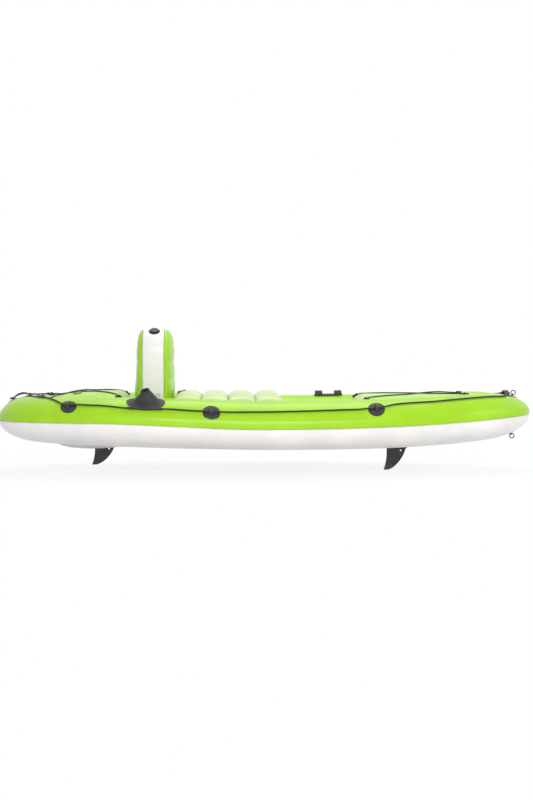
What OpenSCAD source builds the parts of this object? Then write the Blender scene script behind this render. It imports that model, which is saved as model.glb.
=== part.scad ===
// Inflatable sit-on-top fishing kayak, +X to the bow, +Y to port, +Z up.
// Lengths are millimetres. The origin lies under the middle of the hull, level with the lowest fin tip.

/* [Hull] */
// Overall length, stern tip to bow tip
hull_length = 2700; // [2400:10:3000]
// Overall width across the side tubes
hull_width = 1000; // [940:10:1080]
// Where the hull is widest, forward of the middle of its length
widest_x = -100; // [-180:10:-20]
// Fullness of the bow in plan, 2 is an ellipse
bow_fullness = 2.05; // [1.95:0.05:2.4]
// Fullness of the stern in plan
stern_fullness = 2.6; // [2.2:0.1:3.0]
// Height of the seam above the bottom, at the middle
seam_height = 110; // [95:1:130]
// How far the seam climbs towards the bow tip
seam_rise_bow = 52; // [30:1:70]
// How far the seam climbs towards the stern
seam_rise_stern = 27; // [10:1:40]
// How far the bottom climbs under the bow
rocker_bow = 58; // [40:1:75]
// How far the bottom climbs under the stern
rocker_stern = 34; // [15:1:45]
// Width of the rounded bilge, from the seam in to the flat bottom
bilge_width = 200; // [160:5:230]
// How far the welded seam flange stands out
seam_flange_out = 3; // [2:0.5:6]
// Thickness of the welded seam flange
seam_flange_thick = 1.4; // [1:0.1:2.4]

/* [Side tubes] */
// Width of a side tube across its section
tube_width = 280; // [260:5:300]
// Height of a side tube above the seam, at the middle
tube_height = 132; // [120:1:145]
// Height of the tube above the seam at the stern
stern_tube_height = 115; // [105:1:130]

// Height of the tube above the seam at the bow
bow_tube_height = 124; // [110:1:140]
// Height of the tube above the seam at the bow tip
nose_tube_height = 100; // [90:1:124]

/* [Cockpit floor] */
// Height of the cockpit floor above the seam
floor_height = 40; // [30:1:50]
// Number of lengthwise air ribs in the floor
floor_ribs = 5; // [3:1:7]
// Height of each floor rib
floor_rib_height = 9; // [5:1:14]

/* [Padded decks] */
// Rear edge of the first seat pillow
seat_start_x = -462; // [-480:1:-450]
// Number of seat pillows
seat_pillows = 4; // [3:1:4]
// Distance from one seat pillow to the next
pillow_pitch = 134; // [120:1:140]
// Height of the seat pillows above the hull bottom
pillow_top = 275; // [268:1:280]
// How much lower a pillow is at its edges
pillow_edge_drop = 16; // [8:1:24]
// Bare tube between the stern tip and the stern deck
stern_deck_setback = 185; // [175:5:210]
// Front end of the stern deck
stern_deck_fore_x = -702; // [-720:2:-700]
// Height of the stern deck at its front
stern_deck_top = 275; // [265:1:285]
// Height of the stern deck at its rear end
stern_deck_low = 247; // [240:1:255]
// Rear end of the bow deck
bow_deck_aft_x = 455; // [430:5:480]
// Bare tube between the bow deck and the bow tip
bow_deck_setback = 230; // [210:5:290]
// Height of the bow deck
bow_deck_top = 255; // [248:1:262]

/* [Backrest] */
// Width of the backrest
backrest_width = 436; // [400:4:440]
// Height of the backrest top above the hull bottom
backrest_top = 593; // [540:1:640]
// Rear face of the white border
border_aft_x = -617; // [-620:1:-610]
// Thickness of the white border
border_thick = 112; // [100:1:114]
// How far the front panel bulges
front_bulge = 42; // [30:1:42]
// How far the rear panel bulges
rear_bulge = 54; // [35:1:56]
// Radius of the upper corners
backrest_corner = 120; // [80:5:150]
// Height of the fold line above the seat pillows
fold_above_seat = 7; // [5:1:12]

/* [Fins] */
// Depth of the front fin below its box
front_fin_depth = 113; // [90:1:130]
// Depth of the rear fin below its box
rear_fin_depth = 94; // [75:1:110]
// Chord of a fin at its root
fin_chord = 98; // [80:1:110]
// Thickness of a fin at its root
fin_thick = 8; // [6:0.5:10]
// Trailing edge of the front fin
front_fin_x = 618; // [590:1:650]
// Trailing edge of the rear fin
rear_fin_x = -873; // [-890:1:-850]
// Depth of a fin box under the hull
fin_box_depth = 22; // [20:1:26]
// Width of a fin box
fin_box_width = 48; // [44:1:50]

/* [Rod holders] */
// Radius of the rod bore
rod_bore_r = 17; // [14:0.5:18]
// Depth of the rod bore
rod_bore_depth = 58; // [50:1:58]
// Height of a rod holder above the tube
rod_holder_height = 67; // [64:1:80]
// Radius of a rod holder at its mouth
rod_mouth_r = 21; // [20:0.5:26]
// Backward tilt of a rod holder
rod_tilt = 12; // [0:1:25]
// Station of the rod holders
rod_holder_at = -576; // [-590:2:-560]
// How far up the tube's section the rod holders sit, 90 is the crest
rod_holder_angle = 59; // [55:1:65]

/* [Fittings] */
// Diameter of a rope guide patch
guide_diameter = 84; // [70:1:90]
// Inner radius of a rope guide's bridge
guide_bridge_r = 10; // [9:0.5:12]
// Diameter of the grab line
rope_diameter = 8; // [6:0.5:9]
// Diameter of the elastic cords
bungee_diameter = 6; // [4:0.5:7]
// Outer diameter of the grey valve flanges
valve_flange_d = 58; // [50:1:64]
// Diameter of a valve cap
valve_cap_d = 44; // [38:1:46]
// Length of the paddle rest
paddle_rest_length = 152; // [130:1:170]
// Wire radius of the tow rings
ring_wire_r = 2.6; // [2.2:0.1:2.8]
// Middle radius of the tow rings
ring_r = 11.5; // [11:0.5:15]

/* [Hidden] */

LIME = [0.69, 0.90, 0.22];
LIME_PALE = [0.75, 0.93, 0.42];
OFF_WHITE = [0.93, 0.92, 0.91];
BLACK = [0.17, 0.17, 0.17];
DARK_GREY = [0.27, 0.27, 0.27];
VALVE_GREY = [0.48, 0.55, 0.42];
TAB_GREY = [0.78, 0.79, 0.77];

// Clearance between soft pieces, between a piece and what carries it, and between the seam faces
soft_gap = 3;
seat_gap = 0.3;
patch_seat = 0.7;
seam_gap = seam_flange_thick + 2 * seat_gap;

half_l = hull_length / 2;
rim_half_w = hull_width / 2 - seam_flange_out;
rim_bow_l = half_l - widest_x - seam_flange_out;
rim_stern_l = half_l + widest_x - seam_flange_out;
tube_steps = 14;
bilge_steps = 8;
// stations round half the rim, bow to stern, closer together at the tips; the first and last lie on the tips
rim_stations = 42;
tip_crowding = 14;
rim_angles = [for (i = [0:rim_stations]) let (t = i / rim_stations) 180 * t - tip_crowding * sin(360 * t)];
tip_angle = 0.6;
body_angles = concat([tip_angle], [for (i = [1:rim_stations - 1]) rim_angles[i]], [180 - tip_angle]);

// ---- Lines of the hull: everything that lies on it takes its place from these

function ease(t) = t <= 0 ? 0 : t >= 1 ? 1 : t * t * (3 - 2 * t);
function mix(a, b, t) = a + (b - a) * t;
function clamp(v, lo, hi) = max(lo, min(hi, v));

// Sheer of the seam, height of the tube above it, and rocker of the bottom, at station x
// each taper as [start, run] on the standard hull
stern_rise_run = [0, 850];
bow_taper = [850, 350];
nose_taper = [1080, 220];
stern_taper = [300, 800];
function taper(x, t) = ease((x - along(t[0])) / along(t[1]));
rocker_start = 250;
function seam_z(x) = seam_height
    + (x > 0 ? seam_rise_bow * pow(x / half_l, 2.2) : seam_rise_stern * taper(-x, stern_rise_run));
function tube_h(x) = x > 0
    ? mix(mix(tube_height, bow_tube_height, taper(x, bow_taper)), nose_tube_height, taper(x, nose_taper))
    : mix(tube_height, stern_tube_height, taper(-x, stern_taper));
function bottom_z(x) =
    x > rocker_start ? rocker_bow * pow((x - rocker_start) / (half_l - rocker_start), 2.3)
    : x < 0 ? rocker_stern * pow(-x / half_l, 1.3) : 0;

// Plan curves: the rim moved inwards by inset; a is 0 at the bow and 180 at the stern
function fullness(c) = c >= 0 ? bow_fullness : stern_fullness;
function rim_reach(c, inset) = (c >= 0 ? rim_bow_l : rim_stern_l) - inset;
function rim(inset, a) = let (c = cos(a), s = abs(sin(a)), n = fullness(c))
    [widest_x + sign(c) * rim_reach(c, inset) * pow(abs(c), 2 / n),
     (rim_half_w - inset) * pow(s, 2 / n) * (a > 180 ? -1 : 1)];
function rim_y(inset, x) = let (u = x - widest_x, n = fullness(u), t = abs(u) / rim_reach(u, inset))
    t >= 1 ? 0 : (rim_half_w - inset) * pow(1 - pow(t, n), 1 / n);

// How far in from the rim the plan point (x, y) lies, by bisection
function inset_at(x, y, lo = 0, hi = tube_width, left = 20) = let (mid = (lo + hi) / 2)
    left == 0 ? mid
    : rim_y(mid, x) > abs(y) ? inset_at(x, y, mid, hi, left - 1) : inset_at(x, y, lo, mid, left - 1);

// Height of the side tube's skin and of the bottom skin over the plan point (x, y)
function arc_share(t) = sqrt(max(0, 1 - t * t));
function tube_z(x, y) = seam_z(x) + tube_h(x) * arc_share(1 - 2 * inset_at(x, y) / tube_width);
function hull_under_z(x, y) = let (d = min(inset_at(x, y), bilge_width))
    seam_z(x) - (seam_z(x) - bottom_z(x)) * arc_share(1 - d / bilge_width);

// Half the clear width between the tubes at height z, and the tube's height on the middle line
function inner_y(x, z) = let (t = clamp((z - seam_z(x)) / tube_h(x), 0, 1))
    rim_y(tube_width / 2 * (1 + arc_share(t)), x);
function floor_z(x) = seam_z(x) + floor_height;

// A point of a skin. "side" is the side tube's, by station and angle up its section, 90 at the crest;
// the others are heights over a plan point: "tube", "under", or a deck
function side_point(x, a) = [x, rim_y(tube_width / 2 * (1 - cos(a)), x), seam_z(x) + tube_h(x) * sin(a)];
function skin(f, u, v) =
    f == "side" ? side_point(u, v)
    : [u, v, f == "tube" ? tube_z(u, v) : f == "under" ? hull_under_z(u, v) : deck_z(f, u, v)];
step = 0.5;
function unit(v) = v / norm(v);
function along_u(f, u, v) = (skin(f, u + step, v) - skin(f, u - step, v)) / (2 * step);
function along_v(f, u, v) = (skin(f, u, v + step) - skin(f, u, v - step)) / (2 * step);
function turned(f) = f == "side" || f == "under";
function surface_normal(f, u, v) = unit(cross(along_u(f, u, v), along_v(f, u, v))) * (turned(f) ? -1 : 1);
function on_surface(f, u, v, lift) = skin(f, u, v) + surface_normal(f, u, v) * lift;

// A plan point chosen on the standard hull, carried along when the hull is made longer or wider
standard_hull = [2700, 1000];
function along(x) = x * hull_length / standard_hull[0];
function across(y) = y * hull_width / standard_hull[1];
function plan(p) = [along(p[0]), across(p[1])];

// ---- Shared builders

module afloat() { translate([0, 0, keel_drop]) children(); }

// A closed solid through ribs of equal length, whose points run clockwise seen from the last rib;
// ladder closes symmetric ribs rung by rung
module loft(ribs, ladder = false) {
    n = len(ribs);
    m = len(ribs[0]);
    last = (n - 1) * m;
    sides = [for (i = [0:n - 2]) for (j = [0:m - 1]) let (k = (j + 1) % m)
        [i * m + j, i * m + k, (i + 1) * m + k, (i + 1) * m + j]];
    first_cap = ladder
        ? [for (j = [0:m / 2 - 2]) [m - 1 - j, m - 2 - j, j + 1, j]]
        : [[for (j = [m - 1:-1:0]) j]];
    last_cap = ladder
        ? [for (j = [0:m / 2 - 2]) [last + j, last + j + 1, last + m - 2 - j, last + m - 1 - j]]
        : [[for (j = [0:m - 1]) last + j]];
    polyhedron([for (r = ribs) each r], concat(sides, first_cap, last_cap), convexity = 8);
}

// A closed ring of ribs
module ring_loft(ribs) {
    n = len(ribs);
    m = len(ribs[0]);
    polyhedron([for (r = ribs) each r],
        [for (i = [0:n - 1]) for (j = [0:m - 1]) let (k = (j + 1) % m, h = (i + 1) % n)
            [i * m + j, i * m + k, h * m + k, h * m + j]], convexity = 8);
}

function backwards(list) = [for (i = [len(list) - 1:-1:0]) list[i]];
// One half of a rib, followed by its mirror image
function both_sides(half) = concat(half, [for (p = backwards(half)) [p[0], -p[1], p[2]]]);

// A patch that follows the skin: an oval of radii ru along the hull and rv across it
function patch_ring(f, u, v, ru, rv, share, lift, sides) =
    let (ku = norm(along_u(f, u, v)), kv = norm(along_v(f, u, v)))
    [for (i = [0:sides - 1]) let (a = 360 * i / sides)
        on_surface(f, u + ru * share * cos(a) / ku, v + rv * share * sin(a) / kv, lift)];
module patch(f, u, v, ru, rv, thick, sides = 20) {
    bottom = [for (s = [0.02, 0.5, 1]) patch_ring(f, u, v, ru, rv, s, patch_seat, sides)];
    top = [for (s = [1, 0.92, 0.5, 0.02])
        patch_ring(f, u, v, ru, rv, s, patch_seat + thick * (s == 1 ? 0.5 : 1), sides)];
    rings = concat(bottom, top);
    loft(turned(f) ? rings : backwards(rings));
}

// Puts its children on the skin, with their +Z along the normal and +X along the hull
module seated(f, u, v, lift = seat_gap) {
    n = surface_normal(f, u, v);
    ty = unit(cross(n, [1, 0, 0]));
    tx = cross(ty, n);
    p = on_surface(f, u, v, lift);
    multmatrix([
        [tx[0], ty[0], n[0], p[0]],
        [tx[1], ty[1], n[1], p[1]],
        [tx[2], ty[2], n[2], p[2]],
        [0, 0, 0, 1]]) children();
}

// ---- Hull

// The white lower skin: seam to bilge to flat bottom, closed level with the seam
module bottom_skin() {
    function side(a) = [for (k = [0:bilge_steps]) let (
        phi = 90 * k / bilge_steps,
        p = rim(bilge_width * (1 - cos(phi)), a),
        top = seam_z(p[0]) - seam_gap / 2)
        [p[0], p[1], mix(top, bottom_z(p[0]), sin(phi))]];
    color(OFF_WHITE) afloat()
        loft([for (a = backwards(body_angles)) both_sides(side(a))], ladder = true);
}

// The flange where the upper and lower skins are welded together
module seam_flange() {
    function rib(a) = let (p = rim(-seam_flange_out, a), q = rim(seam_flange_inner, a),
        t = seam_flange_thick / 2)
        [[p[0], p[1], seam_z(p[0]) - t], [p[0], p[1], seam_z(p[0]) + t],
         [q[0], q[1], seam_z(q[0]) + t], [q[0], q[1], seam_z(q[0]) - t]];
    color(OFF_WHITE) afloat() ring_loft(concat(
        [for (a = rim_angles) rib(a)], [for (i = [rim_stations - 1:-1:1]) rib(360 - rim_angles[i])]));
}
seam_flange_inner = 20;

// One air chamber of the green side tube, from the bow tip round to the stern tip
module side_chamber() {
    function rib(a) = [for (k = [0:tube_steps]) let (
        phi = 180 * k / tube_steps,
        p = rim(tube_width / 2 * (1 - cos(phi)), a),
        low = seam_z(p[0]) + seam_gap / 2)
        [p[0], p[1] + seat_gap / 2, low + (tube_h(p[0]) - seam_gap / 2) * sin(phi)]];
    loft([for (a = rim_angles) rib(a)]);
}
module port_tube() { color(LIME) afloat() side_chamber(); }
module starboard_tube() { color(LIME) afloat() mirror([0, 1, 0]) side_chamber(); }

// The floor chamber between the tubes, with rounded lengthwise ribs on top
module cockpit_floor() {
    wave_points = floor_ribs * 4;
    function rib(a) = let (
        p = rim(tube_width + soft_gap, a),
        low = seam_z(p[0]) + seam_gap / 2 + seat_gap,
        high = floor_z(p[0]) - floor_rib_height)
        concat([[p[0], p[1], low]],
            [for (i = [0:wave_points]) let (t = 1 - 2 * i / wave_points)
                [p[0], p[1] * t, high + floor_rib_height * abs(sin(90 * floor_ribs * (1 - t)))]],
            [[p[0], -p[1], low]]);
    color(LIME_PALE) afloat()
        loft([for (i = [1:rim_stations - 1]) rib(rim_angles[i])]);
}

// ---- Padded decks and pillows: each is lofted between the tubes' inner walls

stern_deck_aft_x = stern_deck_setback - half_l;
bow_deck_fore_x = half_l - bow_deck_setback;
deck_side_steps = 4;
deck_crown_steps = 6;
deck_rim = 0.92;
deck_crown_power = 0.5;
deck_roll = 55;
deck_end_room = 12;
deck_roll_room = 7;
deck_seat = 0.8;
min_half_w = 1;

// Height of the deck on the middle line, before its ends roll down
function deck_line(f, x) =
    f == "stern_deck" ? mix(stern_deck_low, stern_deck_top,
        ease((x - stern_deck_aft_x) / (0.7 * (stern_deck_fore_x - stern_deck_aft_x))))
    : f == "bow_deck" ? bow_deck_top + 4 * ease((x - bow_deck_aft_x) / 600)
    : pillow_top - pillow_edge_drop * pow(abs(2 * (x - pillow_mid(f)) / pillow_length), 2.4);
function deck_ends(f) =
    f == "stern_deck" ? [stern_deck_aft_x, stern_deck_fore_x]
    : f == "bow_deck" ? [bow_deck_aft_x, bow_deck_fore_x]
    : [pillow_mid(f) - pillow_length / 2, pillow_mid(f) + pillow_length / 2];
pillow_length = pillow_pitch - 2 * seat_gap;
function pillow_mid(i) = seat_start_x + pillow_pitch * (i + 0.5);

// Share of the full height that is left near a rolled end
function roll_share(f, x) = let (
    e = deck_ends(f),
    r = is_num(f) ? 0.2 * deck_roll : deck_roll,
    t = clamp(min(x - e[0], e[1] - x) / r, 0, 1),
    least = is_num(f) ? 0.8 : 0.35)
    mix(least, 1, arc_share(1 - t));
// the ends of the wall's pocket are kept clear, and the rolled ends stand further in from the wall
function pocket_x(f, x) = f == "stern_deck" ? x - deck_end_room : f == "bow_deck" ? x + deck_end_room : x;
function deck_room(f, x) = soft_gap + deck_roll_room * (1 - roll_share(f, x));
function wall_y(f, x, z) = max(min_half_w, inner_y(pocket_x(f, x), z) - deck_room(f, x));
function deck_base(x, f = 0) = max(floor_z(x), tube_z(pocket_x(f, x), 0)) + deck_seat;
function deck_top(f, x) = let (b = deck_base(x, f)) max(b + 3, mix(b, deck_line(f, x), roll_share(f, x)));
function deck_rim_z(f, x) = let (b = deck_base(x, f))
    max(b + 1, min(seam_z(x) + deck_rim * tube_h(x) * mix(0.8, 1, roll_share(f, x)), deck_top(f, x) - 1.5));
function deck_rim_y(f, x) = wall_y(f, x, deck_rim_z(f, x));
function deck_z(f, x, y) = let (r = deck_rim_y(f, x), z = deck_rim_z(f, x),
    c = pow(min(1, abs(y) / r), 1 / deck_crown_power))
    mix(z, deck_top(f, x), arc_share(c));

module deck(f, stations) {
    e = deck_ends(f);
    function half(x) = let (b = deck_base(x, f), r = deck_rim_z(f, x), w = deck_rim_y(f, x))
        concat(
            [for (j = [0:deck_side_steps]) let (z = mix(b, r, j / deck_side_steps)) [x, wall_y(f, x, z), z]],
            [for (k = [1:deck_crown_steps - 1]) let (t = 90 * k / deck_crown_steps)
                [x, w * pow(cos(t), deck_crown_power), mix(r, deck_top(f, x), sin(t))]]);
    loft([for (i = [stations:-1:0]) let (t = i / stations, u = (1 - cos(180 * t)) / 2)
        both_sides(half(mix(e[0], e[1], mix(t, u, 0.6))))]);
}
module stern_deck() { color(LIME_PALE) afloat() deck("stern_deck", 20); }
module bow_deck() { color(LIME_PALE) afloat() deck("bow_deck", 20); }
module seat_pillow(i) { color(LIME_PALE) afloat() deck(i, 9); }

// Two soft ridges that fair the rear fin's box into the bottom
ridge_length = 360;
ridge_width = 54;
ridge_low = 11;
ridge_mid_x = -880;
module stern_keel_ridges() {
    function rib(x, y0) = let (
        t = 2 * (x - ridge_mid_x) / ridge_length,
        top = bottom_z(x) - seat_gap,
        deep = max(1.5, (top + ridge_low) * arc_share(t)),
        w = ridge_width / 2 * mix(0.4, 1, arc_share(t)))
        [for (k = [0:8]) let (a = 180 * k / 8) [x, y0 + w * cos(a), top - deep * sin(a)]];
    y_mid = fin_box_width / 2 + ridge_width / 2 + soft_gap / 2;
    color(OFF_WHITE) afloat() for (s = [-1, 1])
        loft([for (i = [12:-1:0])
            rib(ridge_mid_x + ridge_length / 2 * cos(180 * i / 12) * 0.995, s * y_mid)]);
}

// ---- Backrest: a white border with a bulging panel on each side, folding about its lower front edge

backrest_base = floor_z(border_aft_x - 5) + 0.5;
backrest_h = backrest_top - backrest_base;
backrest_foot_corner = 40;
border_fore_x = border_aft_x + border_thick;
fold_x = border_fore_x + front_bulge + 1;
fold_z = pillow_top + fold_above_seat;
panel_gap = seat_gap;

// Outline of the backrest seen from the front, as [y, z] points; inset shrinks it
function corner(cy, cz, r, from, steps) = [for (i = [0:steps]) let (a = from + 90 * i / steps)
    [cy + r * cos(a), cz + r * sin(a)]];
function backrest_outline(inset = 0) = let (
    w = backrest_width / 2 - inset,
    h = backrest_h - inset,
    rt = backrest_corner - inset,
    rf = backrest_foot_corner - inset)
    concat(
        corner(w - rf, inset + rf, rf, -90, 4),
        corner(w - rt, h - rt, rt, 0, 9),
        corner(-w + rt, h - rt, rt, 90, 9),
        corner(-w + rf, inset + rf, rf, 180, 4));

module backrest_border() {
    color(OFF_WHITE) afloat() translate([border_aft_x, 0, backrest_base])
        rotate([90, 0, 90]) linear_extrude(border_thick) polygon(backrest_outline());
}
// A panel that swells from the outline's edge to its full bulge, with shallow cross welds
panel_power = 3.2;
panel_weld_depth = 2.5;
panel_welds = 5;
module swollen_panel(bulge) {
    edge = 4;
    mid_z = backrest_h / 2;
    shares = [1, 0.985, 0.95, 0.88, 0.76, 0.6, 0.42, 0.22, 0.03];
    outline = backwards(backrest_outline(1));
    function swell(s) = edge + (bulge - edge) * pow(1 - pow(s, panel_power), 1 / panel_power);
    function weld(z, s) = s > 0.9 ? 0 : panel_weld_depth * (1 + cos(360 * panel_welds * z / backrest_h)) / 2;
    loft(concat(
        [for (s = [0.03, 1]) [for (p = outline) [0, p[0] * s, mid_z + (p[1] - mid_z) * s]]],
        [for (s = shares) [for (p = outline) let (z = mid_z + (p[1] - mid_z) * s)
            [swell(s) - weld(z, s), p[0] * s, z]]]));
}
module backrest_front_panel() {
    color(LIME) afloat() translate([border_fore_x + panel_gap, 0, backrest_base])
        swollen_panel(front_bulge - panel_gap);
}
module backrest_rear_panel() {
    color(LIME) afloat() translate([border_aft_x - panel_gap, 0, backrest_base]) mirror([1, 0, 0])
        swollen_panel(rear_bulge - panel_gap);
}
// Light grey welded tabs low on each side of the border
tab_r = 13;
tab_z = 262;
module backrest_side_tabs() {
    color(TAB_GREY) afloat() for (s = [-1, 1])
        translate([border_fore_x - 35, s * (backrest_width / 2 + seat_gap), tab_z])
            rotate([-90 * s, 0, 0]) difference() {
                cylinder(r = tab_r, h = 2.5, $fn = 32);
                translate([0, 0, -1]) cylinder(r = 4, h = 5, $fn = 24);
            }
}

// ---- Valves: a welded flange and neck, and a ribbed cap that lifts off

valve_flange_t = 2.5;
valve_neck_h = 7;
valve_neck_r = 14;
valve_hole_r = 9;
cap_wall = 3;
cap_ribs = 18;
module valve_body() {
    rotate_extrude($fn = 48) polygon([
        [valve_hole_r, 0], [valve_flange_d / 2, 0], [valve_flange_d / 2, valve_flange_t * 0.5],
        [valve_flange_d / 2 - 3, valve_flange_t], [valve_neck_r, valve_flange_t],
        [valve_neck_r, valve_neck_h], [valve_hole_r, valve_neck_h]]);
}
module valve_cap() {
    cap_r = valve_cap_d / 2;
    cap_low = valve_flange_t + seat_gap;
    cap_top = valve_neck_h + seat_gap + cap_wall;
    rotate_extrude($fn = 48) polygon([
        [0, valve_neck_h + seat_gap], [valve_neck_r + seat_gap, valve_neck_h + seat_gap],
        [valve_neck_r + seat_gap, cap_low], [cap_r - 1.5, cap_low], [cap_r, cap_low + 2],
        [cap_r, cap_top - 2], [cap_r - 2, cap_top], [0, cap_top]]);
    // the grip ribs stand clear of the wall's chamfers and of the angle where its round face closes
    for (i = [0:cap_ribs - 1]) rotate(360 * (i + 0.5) / cap_ribs)
        translate([cap_r - 0.7, -0.8, cap_low + 2.7]) cube([1.3, 1.6, cap_top - cap_low - 5.4]);
}
side_valve_x = -945;
side_valve_y = 130;
seat_valve_x = seat_start_x + 32;
seat_valve_lift = -0.6;
backrest_valve_t = 62;
deck_valve_lift = seat_gap;
module on_stern_deck(s) { afloat() seated("stern_deck", side_valve_x, s * side_valve_y, deck_valve_lift) children(); }
module on_seat() { afloat() seated(0, seat_valve_x, 0, seat_valve_lift) children(); }
// The backrest's valve sits on the shoulder of the border, on the starboard side
module on_backrest() {
    w = backrest_width / 2 - backrest_corner;
    afloat() translate([border_aft_x + border_thick / 2, 0, backrest_top - backrest_corner])
        translate([0, -w, 0]) rotate([90 - backrest_valve_t, 0, 0])
            translate([0, 0, backrest_corner + seat_gap]) children();
}
module port_valve() { color(VALVE_GREY) on_stern_deck(1) valve_body(); }
module port_valve_cap() { color(VALVE_GREY) on_stern_deck(1) valve_cap(); }
module starboard_valve() { color(VALVE_GREY) on_stern_deck(-1) valve_body(); }
module starboard_valve_cap() { color(VALVE_GREY) on_stern_deck(-1) valve_cap(); }
module seat_valve() { color(VALVE_GREY) on_seat() valve_body(); }
module seat_valve_cap() { color(VALVE_GREY) on_seat() valve_cap(); }
module backrest_valve() { color(BLACK) on_backrest() valve_body(); }
module backrest_valve_cap() { color(BLACK) on_backrest() valve_cap(); }

// ---- Rod holders: a flexible oval base that draws up into a tilted cone with a true bore

rod_flange_ru = 94;
rod_flange_rv = 62;
rod_flange_t = 3;
rod_foot_r = 50;
rod_holder_x = along(rod_holder_at);
// the flange reaches further aft than forward
rod_flange_shift = -14;
rod_flange_x = rod_holder_x + rod_flange_shift;
// the grab line runs straight through a tunnel under the holder's base
tunnel_r = rope_diameter / 2 + 1;
tunnel_wall = 3;
tunnel_below = 23;
tunnel_reach = rod_flange_ru + 12;
function tunnel_end(s) =
    on_surface("side", rod_flange_x + s * tunnel_reach, rod_holder_angle - tunnel_below, tunnel_r + 5.5);
rod_tunnel_points = [for (t = [0, 0.25, 0.5, 0.75, 1]) mix(tunnel_end(-1), tunnel_end(1), t)];
module between(a, b, r, extra) {
    d = b - a;
    translate(a) rotate([0, acos(d[2] / norm(d)), atan2(d[1], d[0])])
        translate([0, 0, -extra]) cylinder(r = r, h = norm(d) + 2 * extra, $fn = 32);
}
module rod_holder() {
    sides = 32;
    p = on_surface("side", rod_holder_x, rod_holder_angle, patch_seat);
    n = surface_normal("side", rod_holder_x, rod_holder_angle);
    ty = unit(cross(n, [1, 0, 0]));
    tx = cross(ty, n);
    // the axis leans back from the skin's normal, the mouth's plane is square to it
    axis = unit(n * cos(rod_tilt) - tx * sin(rod_tilt));
    mx = cross(ty, axis);
    mouth = p + axis * rod_holder_height;
    function oval(ru, rv, lift, x = rod_flange_x) =
        patch_ring("side", x, rod_holder_angle, ru, rv, 1, patch_seat + lift, sides);
    function circle_at(c, r) = [for (i = [0:sides - 1]) let (a = 360 * i / sides)
        c + mx * r * cos(a) - ty * r * sin(a)];
    lip = (rod_flange_ru - 8) / tunnel_reach;
    difference() {
        union() {
            between(mix(tunnel_end(-1), tunnel_end(1), (1 - lip) / 2), mix(tunnel_end(-1), tunnel_end(1), (1 + lip) / 2),
                tunnel_r + tunnel_wall, 0);
            loft([
                oval(2, 2, 0),
                oval(rod_flange_ru * 0.25, rod_flange_rv * 0.25, 0),
                oval(rod_flange_ru * 0.5, rod_flange_rv * 0.5, 0),
                oval(rod_flange_ru * 0.75, rod_flange_rv * 0.75, 0),
                oval(rod_flange_ru, rod_flange_rv, 0),
                oval(rod_flange_ru, rod_flange_rv, rod_flange_t * 0.6),
                oval(rod_flange_ru - 4, rod_flange_rv - 4, rod_flange_t),
                oval(rod_foot_r + 4, rod_foot_r + 2, rod_flange_t + 1, rod_holder_x),
                oval(rod_foot_r - 2, rod_foot_r - 2, rod_flange_t + 6, rod_holder_x),
                circle_at(mouth - axis * 6, rod_mouth_r + 1.5),
                circle_at(mouth - axis * 1, rod_mouth_r + 0.5),
                circle_at(mouth, rod_mouth_r - 0.6)]);
        }
        between(tunnel_end(-1), tunnel_end(1), tunnel_r, 5);
        multmatrix([
            [mx[0], ty[0], axis[0], mouth[0]],
            [mx[1], ty[1], axis[1], mouth[1]],
            [mx[2], ty[2], axis[2], mouth[2]],
            [0, 0, 0, 1]])
            translate([0, 0, -rod_bore_depth]) cylinder(r = rod_bore_r, h = rod_bore_depth + 2, $fn = 64);
    }
}
module rod_holder_port() { color(BLACK) afloat() rod_holder(); }
module rod_holder_starboard() { color(BLACK) afloat() mirror([0, 1, 0]) rod_holder(); }

// ---- Rope guides and bungee eyes: a skin patch with a moulded bridge over the line

// station on the standard hull, and angle up the tube's section
guide_places = [[-963, 43], [-275, 34], [519, 42]];
guide_thick = 3;
module bridge(inner_r, wall, wide) {
    rotate([90, 0, 90]) translate([0, 0, -wide / 2]) linear_extrude(wide)
        difference() {
            circle(r = inner_r + wall, $fn = 32);
            circle(r = inner_r, $fn = 32);
            translate([-inner_r - wall - 1, -inner_r - wall - 1]) square([2 * (inner_r + wall + 1), inner_r + wall + 1]);
        }
}
module rope_guides() {
    for (place = guide_places) {
        patch("side", along(place[0]), place[1], guide_diameter / 2, guide_diameter / 2, guide_thick, 24);
        seated("side", along(place[0]), place[1], patch_seat + guide_thick - 0.4) bridge(guide_bridge_r, 6, 14);
    }
}
module rope_guides_port() { color(BLACK) afloat() rope_guides(); }
module rope_guides_starboard() { color(BLACK) afloat() mirror([0, 1, 0]) rope_guides(); }

eye_r = 19;
eye_bridge_r = bungee_diameter / 2 + 4.5;
// [x, angle or y, turn that sets the loop in line with its cord]
stern_rear_eye = [-1112, 97, -41];
stern_fore_eye = [-732, 248, 48];
bow_aft_eye = [487, 248, -34];
bow_fore_eye = [1000, 98, 33];
// Plan point on a deck; where a deck is narrower its outermost eye and its cords draw in together
eye_room = 11;
function deck_fit(f, eye) = min(1, (deck_rim_y(f, along(eye[0])) - eye_room) / across(eye[1]));
stern_fit = deck_fit("stern_deck", stern_fore_eye);
bow_fit = deck_fit("bow_deck", bow_aft_eye);
function deck_plan(f, p) = let (q = plan(p)) [q[0], q[1] * (f == "stern_deck" ? stern_fit : bow_fit)];
module bungee_eye(f, place) {
    p = f == "side" ? [along(place[0]), place[1]] : deck_plan(f, place);
    patch(f, p[0], p[1], eye_r, eye_r, 2.5, 16);
    seated(f, p[0], p[1], patch_seat + 2.2) rotate([0, 0, place[2]]) bridge(eye_bridge_r, 4.5, 9);
}
module stern_bungee_eyes() {
    color(BLACK) afloat() for (s = [0, 1]) mirror([0, s, 0]) {
        bungee_eye("side", stern_rear_eye);
        bungee_eye("stern_deck", stern_fore_eye);
    }
}
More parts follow.
